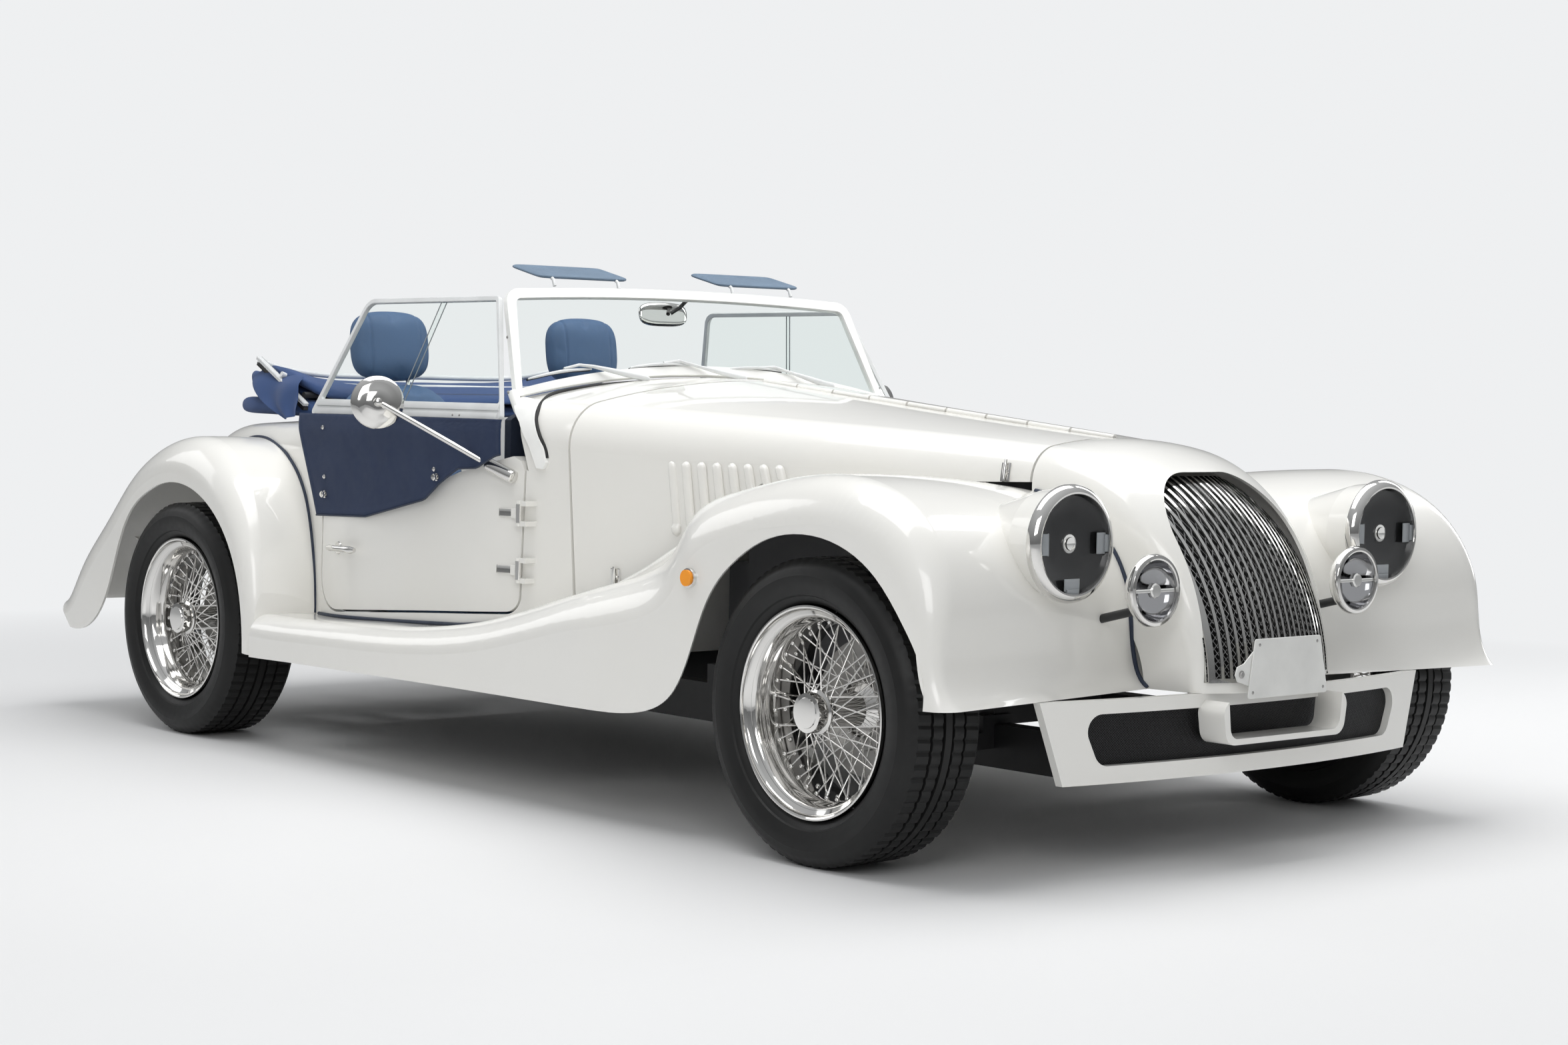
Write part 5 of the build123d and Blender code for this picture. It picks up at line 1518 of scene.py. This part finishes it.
    def frame_screws(self, name, side, studs):
        """Screws along the side screen's foot rail and up the screen's post."""
        body = "door_" + name
        for y in self.RAIL_SCREWS:
            spot = screen_point(y, 0.8655, side, 0.0098)
            pose = row_pose(spot, spot + Vector((0, 0.03, 0)), Vector((side, 0, SCREEN_LEAN)))
            mesh = studs.mesh("screws", pose, Count=2, Pitch=0.030, Radius=0.0032)
            link(f"rail_screws_{round(y * 1000)}_{name}", mesh, "steel", body)
        post = tree_of("windscreen_frame")
        for z in self.POST_SCREWS:
            spot, _, _, _ = post.find_nearest(place(0.66 * side, 0.110 + (z - 0.906) * 0.43, z))
            mesh = studs.mesh("screws", frame_of(spot, (side, 0, 0)), Count=1, Radius=0.0042)
            link(f"post_screws_{round(z * 100)}_{name}", mesh, "steel", "chassis")

    def lamp_rings(self, name, side):
        """Rims round a side repeater and a tail lamp."""
        repeater, tail_lamp = mirror_points((self.REPEATER, self.TAIL_LAMP), side)
        pose = frame_of(place(*repeater), (side, 0, 0))
        lathed("repeater_ring_" + name, self.REPEATER_RING, pose, 40, "chrome", "chassis")
        pose = frame_of(place(*tail_lamp), (0, 1, 0))
        lathed("tail_lamp_ring_" + name, self.TAIL_RING, pose, 48, "chrome", "chassis")

    def plate(self, studs):
        """Bare plate with eased edges, four rivets and its bracket with a bolt."""
        line = rounded_line(self.PLATE, (0.006,) * 4, 4)
        shape = bmesh.new()
        add_sheet(shape, lambda y: [place(x, y, z) for x, z in line], (self.PLATE_BACK, self.PLATE_FRONT))
        plate = from_bmesh("bare_plate", shape, "plate", "chassis", 30.0)
        soften(plate, 0.0009)
        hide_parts("number_plate")
        for number, (x, z) in enumerate(self.RIVETS):
            pose = frame_of(place(x, self.PLATE_FRONT, z), (0, -1, 0))
            mesh = studs.mesh("rivet", pose, Count=1, Radius=0.0034, Dome=0.45)
            link(f"plate_rivet_{number}", mesh, "steel", "chassis")
        bracket = bmesh.new()
        add_sheet(bracket, lambda y: [place(x, y, z) for x, z in self.EAR], (self.EAR_BACK, self.EAR_FRONT))
        from_bmesh("plate_bracket", bracket, "plate", "chassis", 30.0)
        pose = frame_of(place(-0.158, self.EAR_FRONT, 0.393), (0, -1, 0))
        lathed("plate_bolt", self.BOLT, pose, 24, "steel", "chassis", closed=False)


def rounded_line(corners, radii, steps=7):
    """Flat closed line through corners, each rounded by its radius."""
    line = []
    count = len(corners)
    for i, radius in enumerate(radii):
        here = Vector(corners[i])
        to_last = (Vector(corners[i - 1]) - here).normalized()
        to_next = (Vector(corners[(i + 1) % count]) - here).normalized()
        half = to_last.angle(to_next) / 2
        reach = radius / math.tan(half)
        if radius == 0:
            line.append(here)
            continue
        start, end = here + to_last * reach, here + to_next * reach
        centre = here + (to_last + to_next).normalized() * (radius / math.sin(half))
        a, b = (start - centre).normalized(), (end - centre).normalized()
        for s in range(steps + 1):
            line.append(centre + a.slerp(b, s / steps) * radius)
    return line


def screen_point(y, z, side, out=0.0):
    """Point of a side screen's leaning plane, moved outwards from it."""
    return place(side * (0.650 - SCREEN_LEAN * (z - 0.858) + out), y, z + SCREEN_LEAN * out)


class ROADSTER_OT_side_screens(bpy.types.Operator):
    """Frame and glaze the two side screens"""

    bl_idname = "roadster.side_screens"
    bl_label = "Side screens"

    OUTER = ((0.083, 0.856), (0.222, 1.158), (0.812, 1.158), (0.952, 0.856))
    INNER = ((0.107, 0.897), (0.229, 1.146), (0.805, 1.146), (0.918, 0.897))
    OUTER_RADII, INNER_RADII = (0.010, 0.016, 0.052, 0.010), (0.006, 0.010, 0.042, 0.006)
    RAIL_HEIGHTS = (0.8655, 0.8865)
    # each pane's corners, their radii, and how far out it slides
    PANES = (
        (((0.104, 0.893), (0.226, 1.149), (0.470, 1.149), (0.548, 0.893)), (0.006, 0.006, 0.0, 0.0), 0.0012),
        (((0.530, 0.893), (0.452, 1.149), (0.808, 1.149), (0.922, 0.893)), (0.0, 0.0, 0.042, 0.006), -0.0022),
    )
    # the two panes' meeting edges: y at top and foot, and how far out
    PANE_EDGES = ((0.470, 0.548, 0.0024), (0.452, 0.530, -0.001))

    def execute(self, context):
        for name, side in SIDES:
            body = "door_" + name
            outer = rounded_line(self.OUTER, self.OUTER_RADII)
            inner = rounded_line(self.INNER, self.INNER_RADII)
            shape = bmesh.new()
            rings = []
            for (yo, zo), (yi, zi) in zip(outer, inner):
                bar = [(yo, zo, -0.006), (yo, zo, 0.006), (yi, zi, 0.006), (yi, zi, 0.0025), (yi, zi, -0.006)]
                rings.append([shape.verts.new(screen_point(y, z, side, out)) for y, z, out in bar])
            for here, there in zip(rings, rings[1:] + rings[:1]):
                add_band(shape, here, there)
            frame_piece = from_bmesh("screen_frame_" + name, shape, "silver", body, 30.0)
            soften(frame_piece, 0.0018)
            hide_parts("side_frame_" + name)
            rail = bmesh.new()
            for z in self.RAIL_HEIGHTS:
                start, end = (screen_point(y, z, side, 0.0065) for y in (0.100, 0.925))
                pose = row_pose(start, end, Vector((side, 0, SCREEN_LEAN)))
                add_block(rail, (0.0, -0.0078, -0.002), ((end - start).length, 0.0078, 0.0035), pose, 0.0018)
            from_bmesh("screen_rail_" + name, rail, "silver", body, 30.0)
            self.panes(name, side, body)
        return {"FINISHED"}

    def panes(self, name, side, body):
        """Two sliding panes whose edges overlap a little."""
        first = None
        for number, (corners, radii, out) in enumerate(self.PANES):
            line = rounded_line(corners, radii)
            shape = bmesh.new()
            add_sheet(shape, lambda lift: [screen_point(y, z, side, out + lift) for y, z in line],
                      (0.0, 0.0024))
            pane_piece = from_bmesh(f"side_pane_{number}_{name}", shape, "glass", body, 20.0)
            first = first or pane_piece
        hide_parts("side_glass_" + name)
        edge = bmesh.new()
        for top, foot, out in self.PANE_EDGES:
            ends = [screen_point(y, z, side, out) for y, z in ((top, 1.147), (foot, 0.896))]
            add_tube(edge, ends, 0.0014, 8)
        from_bmesh("pane_edges_" + name, edge, "tab", body)


class ROADSTER_OT_mirrors(bpy.types.Operator):
    """Make the door mirrors and the mirror inside the screen"""

    bl_idname = "roadster.mirrors"
    bl_label = "Mirrors"

    BACK = ((0.0, 0.0105), (0.014, 0.0103), (0.030, 0.0098), (0.0325, 0.0084), (0.048, 0.0064),
            (0.0585, 0.0030), (0.0632, -0.0010), (0.0645, -0.0055), (0.0632, -0.0085), (0.0605, -0.0090))
    GLASS = ((0.0608, -0.0078), (0.0400, -0.0082), (0.0, -0.0084))
    DISC = (0.834, 0.343, 0.896)
    FACING = (0.42, -0.905, 0.06)
    BALL = ((0.0, 0.0115), (0.0075, 0.0090), (0.0112, 0.0020), (0.0105, -0.0050), (0.0075, -0.0090),
            (0.0, -0.0100))
    KNEE, FOOT = (0.655, 0.126, 0.750), (0.641, 0.044, 0.7235)      # of the arm
    INNER, INNER_LEAN = (-0.012, 0.285, 1.131), 82
    INNER_STEM = ((0.0, 0.268, 1.134), (0.018, 0.252, 1.150), (0.032, 0.2385, 1.171))
    INNER_BOSS = ((0.0, 0.006), (0.013, 0.0055), (0.0165, 0.0), (0.013, -0.003), (0.0, -0.003))

    def execute(self, context):
        for name, side in SIDES:
            body = "door_" + name
            x, y, z = self.DISC
            centre = place(x * side, y, z)
            axis = mirror_points((self.FACING,), side)[0].normalized()
            pose = frame_of(centre, axis)
            disc = lathed("mirror_shell_" + name, self.BACK, pose, 96, "chrome", body, closed=False,
                          sharp=30.0)
            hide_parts("door_mirror_" + name)
            lathed("mirror_glass_" + name, self.GLASS, pose, 96, "mirror", body, closed=False, sharp=30.0)
            arm = bmesh.new()
            ball = centre + axis * 0.014
            add_knob(arm, self.BALL, frame_of(ball, axis), 28)
            knee, foot = (place(x * side, y, z) for x, y, z in (self.KNEE, self.FOOT))
            add_tube(arm, [ball.lerp(knee, t) for t in (0.0, 0.06, 0.5, 1.0)],
                     (0.0050, 0.0062, 0.0066, 0.0072), 20)
            add_tube(arm, [knee.lerp(foot, t) for t in (-0.12, -0.08, 0.0, 0.86, 0.97, 1.0)],
                     (0.0080, 0.0140, 0.0165, 0.0165, 0.0150, 0.0110), 28)
            from_bmesh("mirror_arm_" + name, arm, "chrome", body, 40.0)
        self.inner()
        return {"FINISHED"}

    def inner(self):
        """Oval mirror on its stem under the screen's top rail."""
        shell = soft_block((0.077, 0.031, 0.012), (3.2, 2.6), cuts=14)
        leaning = Matrix.Rotation(math.radians(self.INNER_LEAN), 4, "X")
        pose = Matrix.Translation(place(*self.INNER)) @ leaning
        shell.transform(pose)
        shell = from_bmesh("inner_mirror_shell", shell, "chrome", "chassis", 40.0)
        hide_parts("interior_mirror")
        stem = bmesh.new()
        add_tube(stem, [place(*p) for p in self.INNER_STEM], 0.0050, 14)
        add_knob(stem, self.INNER_BOSS, frame_of(place(0.034, 0.236, 1.175), (0, 0.4, -0.9)), 28)
        from_bmesh("inner_mirror_stem", stem, "black", "chassis", 40.0)


class ROADSTER_OT_visors(bpy.types.Operator):
    """Make the padded visors over the screen"""

    bl_idname = "roadster.visors"
    bl_label = "Sun visors"

    X, Y, Z = 0.287, 0.317, 1.2275
    RISE = math.atan2(0.030, 0.128)
    WELL = (0.118, 0.047)        # half width and depth of the flat inside the padded rim
    WELL_SLOPE, WELL_DEPTH = 0.006, 0.42
    ARM_STEPS = (-0.10, 0.10)

    def execute(self, context):
        first = None
        for name, side in SIDES:
            middle = place(self.X * side, self.Y, self.Z)
            pose = Matrix.Translation(middle) @ Matrix.Rotation(self.RISE, 4, "X")
            rim = soft_block((0.142, 0.066, 0.0052), (9.0, 3.0), cuts=26)
            for v in rim.verts:
                across, along = (min(max((edge - abs(at)) / self.WELL_SLOPE, 0.0), 1.0)
                                 for edge, at in zip(self.WELL, v.co))
                v.co.z *= 1 - self.WELL_DEPTH * (across * along)
            rim.transform(pose)
            visor = from_bmesh("visor_pad_" + name, rim, "visor", "chassis", 50.0)
            first = first or visor
            panel = bmesh.new()
            add_block(panel, (-0.116, -0.045, -0.0040), (0.116, 0.045, -0.0026), pose, 0.0006)
            from_bmesh("visor_panel_" + name, panel, "white", "chassis", 40.0)
            arms = bmesh.new()
            for step in self.ARM_STEPS:
                foot = place((self.X + step) * side, 0.243, 1.190)
                end = pose @ Vector((step * side, -0.060, -0.002))
                add_tube(arms, [foot, foot + Vector((0, 0.006, 0.016)), end], 0.0045, 12)
            from_bmesh("visor_arms_" + name, arms, "silver", "chassis")
        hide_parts("sun_visors")
        return {"FINISHED"}


class ROADSTER_OT_screen_trim(bpy.types.Operator):
    """Lay the screen's rubber foot seal and park the three wipers"""

    bl_idname = "roadster.screen_trim"
    bl_label = "Screen seal and wipers"

    SEAL = ((0.606, -0.038, 0.772), (0.606, -0.033, 0.792), (0.613, -0.016, 0.824), (0.608, 0.006, 0.860),
            (0.590, 0.023, 0.885), (0.560, 0.048, 0.904), (0.509, 0.082, 0.922), (0.445, 0.096, 0.934),
            (0.330, 0.100, 0.948), (0.170, 0.101, 0.958), (0.0, 0.101, 0.962))
    # each arm's foot, shoulder, bend and grip, and its blade's two ends
    WIPERS = (
        ((-0.226, 0.084, 0.966), (-0.352, 0.127, 0.992), (-0.392, 0.131, 0.995), (-0.438, 0.130, 0.985),
         (-0.549, 0.127, 0.957), (-0.352, 0.137, 0.984)),
        ((0.092, 0.084, 0.971), (-0.010, 0.126, 0.996), (-0.076, 0.134, 1.011), (-0.124, 0.136, 1.005),
         (-0.230, 0.139, 0.990), (-0.036, 0.141, 0.999)),
        ((0.392, 0.084, 0.955), (0.294, 0.122, 0.986), (0.239, 0.131, 1.001), (0.187, 0.134, 0.999),
         (0.083, 0.139, 0.992), (0.270, 0.138, 0.989)),
    )
    ARM_RADII = (0.0045, 0.0085, 0.0080, 0.0062, 0.0042, 0.0038, 0.0034)
    BOW_SHARES = (0.0, 0.12, 0.3, 0.5, 0.7, 0.88, 1.0)
    BOW = Vector((0, -0.004, 0.006))         # how far a blade's middle stands off the line of its ends
    CARRIER, BLADE = Vector((0, -0.0035, 0.0015)), Vector((0, 0.0030, -0.0020))     # from the bow
    CARRIER_RADII = (0.0020, 0.0032, 0.0036, 0.0042, 0.0036, 0.0032, 0.0020)
    BLADE_RADII = (0.0022, *(0.0030,) * 5, 0.0022)

    def execute(self, context):
        seal = bmesh.new()
        half = catmull(self.SEAL, 6)
        line = mirror_points(half, -1)[:-1] + half[::-1]
        add_tube(seal, [place(*p) for p in line], 0.0048, 12)
        from_bmesh("screen_seal", seal, "rubber", "chassis", 60.0)
        arms, blades = bmesh.new(), bmesh.new()
        for foot, shoulder, bend, grip, start, end in self.WIPERS:
            foot, shoulder, bend, grip, start, end = (
                place(*p) for p in (foot, shoulder, bend, grip, start, end))
            add_tube(arms, [foot.lerp(shoulder, t) for t in (-0.10, -0.04, 0.25, 0.7, 1.0)] + [bend, grip],
                     self.ARM_RADII, 14)
            add_tube(arms, [foot + Vector((0, 0.004, -0.022)), foot + Vector((0, 0, 0.003))], 0.0078, 20)
            bow = [start.lerp(end, t) + self.BOW * math.sin(math.pi * t) for t in self.BOW_SHARES]
            add_tube(arms, [p + self.CARRIER for p in bow], self.CARRIER_RADII, 12)
            add_tube(blades, [p + self.BLADE for p in bow], self.BLADE_RADII, 8)
        arms = from_bmesh("wiper_arms", arms, "silver", "chassis", 40.0)
        from_bmesh("wiper_blades", blades, "rubber", "chassis", 40.0)
        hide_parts("wipers")
        return {"FINISHED"}


class ROADSTER_OT_grille_weave(bpy.types.Operator):
    """Stretch the woven wire close behind the grille's bars"""

    bl_idname = "roadster.grille_weave"
    bl_label = "Grille weave"

    FOOT_Z = 0.365
    FORWARD = 0.0085             # how far it stands before the solid behind the bars

    def execute(self, context):
        shape = bmesh.new()
        shape.from_mesh(frame["nodes"]["intake_mesh"].data)
        bmesh.ops.remove_doubles(shape, verts=shape.verts, dist=1e-5)
        shape.normal_update()
        ahead = Vector((0, -1, 0.5))
        away = [f for f in shape.faces
                if f.normal.dot(ahead) < 0.25 or f.calc_center_median().z < self.FOOT_Z]
        bmesh.ops.delete(shape, geom=away, context="FACES")
        shape.normal_update()
        for v in shape.verts:
            v.co += v.normal * self.FORWARD
        link("grille_weave", mesh_of(shape, "weave"), "mesh", "chassis")
        return {"FINISHED"}


class ROADSTER_OT_stage(bpy.types.Operator):
    """Set the floor, the lights, the world and the camera"""

    bl_idname = "roadster.stage"
    bl_label = "Stage"

    BACKDROP = (0.86, 0.87, 0.88, 1)
    FLOOR_HALF = 24.0
    FADE_FROM, FADE_OVER = 2.4, 2.6      # metres from the middle where the floor turns into the backdrop
    SKY = (0.96, 0.98, 1.0, 1)
    SKY_STRENGTHS = (0.17, 0.65)         # at the horizon and overhead
    LAMPS = (
        # name, place, size, power, aim
        ("overhead", (0.0, -0.5, 4.2), (5.0, 3.0), 150.0, (0, 0, 0)),
        ("nose side", (-4.0, -4.5, 3.0), (2.5, 2.5), 60.0, (0, -1.0, 0.5)),
        ("far side", (4.5, -1.0, 2.6), (1.2, 4.0), 60.0, (0, 0, 0.5)),
        ("tail side", (-3.0, 4.5, 3.0), (2.5, 2.5), 34.0, (0, 0.8, 0.5)),
    )

    def execute(self, context):
        scene = context.scene
        scene.view_settings.view_transform = "Standard"
        self.floor()
        self.world(scene)
        self.lights()
        self.camera(scene)
        return {"FINISHED"}

    def floor(self):
        mesh = bpy.data.meshes.new("floor")
        half = self.FLOOR_HALF
        mesh.from_pydata([(-half, -half, 0), (half, -half, 0), (half, half, 0), (-half, half, 0)], [],
                         [(0, 1, 2, 3)])
        floor = bpy.data.objects.new("floor", mesh)
        bpy.context.scene.collection.objects.link(floor)
        finish = Finish("floor lacquer", (0.80, 0.80, 0.80), 0.55, Specular_IOR_Level=0.2)
        finish.feed("Roughness", 0.52 + finish.noise(2.0, 3.0) * 0.08)
        x, y, _ = finish.axes()
        far_out = (((x * x + y * y) ** 0.5 - self.FADE_FROM) / self.FADE_OVER).clamped()
        seen = finish.out(finish.node("ShaderNodeLightPath"), "Is Camera Ray")
        plain = finish.node("ShaderNodeEmission", Color=self.BACKDROP)
        blend = finish.node("ShaderNodeMixShader", _0=seen * far_out, _1=finish.out(finish.shader),
                            _2=finish.out(plain))
        finish.tree.links.new(blend.outputs[0], finish.tree.nodes["Material Output"].inputs[0])
        floor.data.materials.append(finish.material)

    def world(self, scene):
        world = bpy.data.worlds.new("studio")
        scene.world = world
        world.use_nodes = True
        sky = Nodes(world.node_tree)
        horizon, zenith = (sky.out(sky.node("ShaderNodeBackground", Color=self.SKY, Strength=strength))
                           for strength in self.SKY_STRENGTHS)
        apart = sky.node("ShaderNodeSeparateXYZ", Vector=sky.out(sky.node("ShaderNodeTexCoord"), "Generated"))
        soft = sky.node("ShaderNodeMixShader", _0=sky.out(apart, "Z").clamped(), _1=horizon, _2=zenith)
        plain = sky.node("ShaderNodeBackground", Color=self.BACKDROP)
        path = sky.node("ShaderNodeLightPath")
        seen = (sky.out(path, "Is Camera Ray") + sky.out(path, "Is Transmission Ray")).clamped()
        either = sky.node("ShaderNodeMixShader", _0=seen, _1=sky.out(soft), _2=sky.out(plain))
        sky.tree.links.new(either.outputs[0], sky.tree.nodes["World Output"].inputs[0])

    def lights(self):
        for name, at, size, power, aim in self.LAMPS:
            lamp = bpy.data.lights.new(name, "AREA")
            lamp.shape = "RECTANGLE"
            lamp.size, lamp.size_y = size
            lamp.energy = power
            thing = bpy.data.objects.new(name, lamp)
            thing.location = at
            thing.rotation_euler = (Vector(at) - Vector(aim)).to_track_quat("Z", "Y").to_euler()
            bpy.context.scene.collection.objects.link(thing)

    def camera(self, scene):
        view = scene.roadster_view
        data = bpy.data.cameras.new("camera")
        data.lens = view.lens
        data.sensor_width = 36.0
        data.clip_end = 60.0
        camera = bpy.data.objects.new("camera", data)
        scene.collection.objects.link(camera)
        turn, rise = view.azimuth, view.elevation
        back = Vector((math.sin(turn) * math.cos(rise), -math.cos(turn) * math.cos(rise), math.sin(rise)))
        right = Vector((math.cos(turn), math.sin(turn), 0))
        up = back.cross(right)
        across = right * math.cos(view.roll) + up * math.sin(view.roll)
        above = up * math.cos(view.roll) - right * math.sin(view.roll)
        pose = Matrix((across, above, back)).transposed().to_4x4()
        pose.translation = place(*view.stand)
        camera.matrix_world = pose
        scene.camera = camera


OPERATORS = (ROADSTER_OT_finishes, ROADSTER_OT_tyres, ROADSTER_OT_wheels, ROADSTER_OT_headlamps,
             ROADSTER_OT_fog_lamps, ROADSTER_OT_seats, ROADSTER_OT_hood, ROADSTER_OT_side_cloths,
             ROADSTER_OT_piping, ROADSTER_OT_louvres, ROADSTER_OT_dials, ROADSTER_OT_fittings,
             ROADSTER_OT_side_screens, ROADSTER_OT_mirrors, ROADSTER_OT_visors,
             ROADSTER_OT_screen_trim, ROADSTER_OT_grille_weave, ROADSTER_OT_stage)


class ROADSTER_PT_panel(bpy.types.Panel):
    """Lists the pieces of the car"""

    bl_label = "Roadster"
    bl_space_type = "VIEW_3D"
    bl_region_type = "UI"
    bl_category = "Roadster"

    def draw(self, context):
        for group in (context.scene.roadster_look, context.scene.roadster_view):
            for name in type(group).__annotations__:
                self.layout.prop(group, name)
        for operator in OPERATORS:
            self.layout.operator(operator.bl_idname)


CLASSES = (RoadsterLook, RoadsterView, *OPERATORS, ROADSTER_PT_panel)


def register():
    for item in CLASSES:
        bpy.utils.register_class(item)
    bpy.types.Scene.roadster_look = bpy.props.PointerProperty(type=RoadsterLook)
    bpy.types.Scene.roadster_view = bpy.props.PointerProperty(type=RoadsterView)


def unregister():
    del bpy.types.Scene.roadster_view
    del bpy.types.Scene.roadster_look
    for item in reversed(CLASSES):
        bpy.utils.unregister_class(item)


def main():
    register()
    for operator in OPERATORS:
        getattr(bpy.ops.roadster, operator.bl_idname.split(".")[1])()


if __name__ == "__main__":
    main()
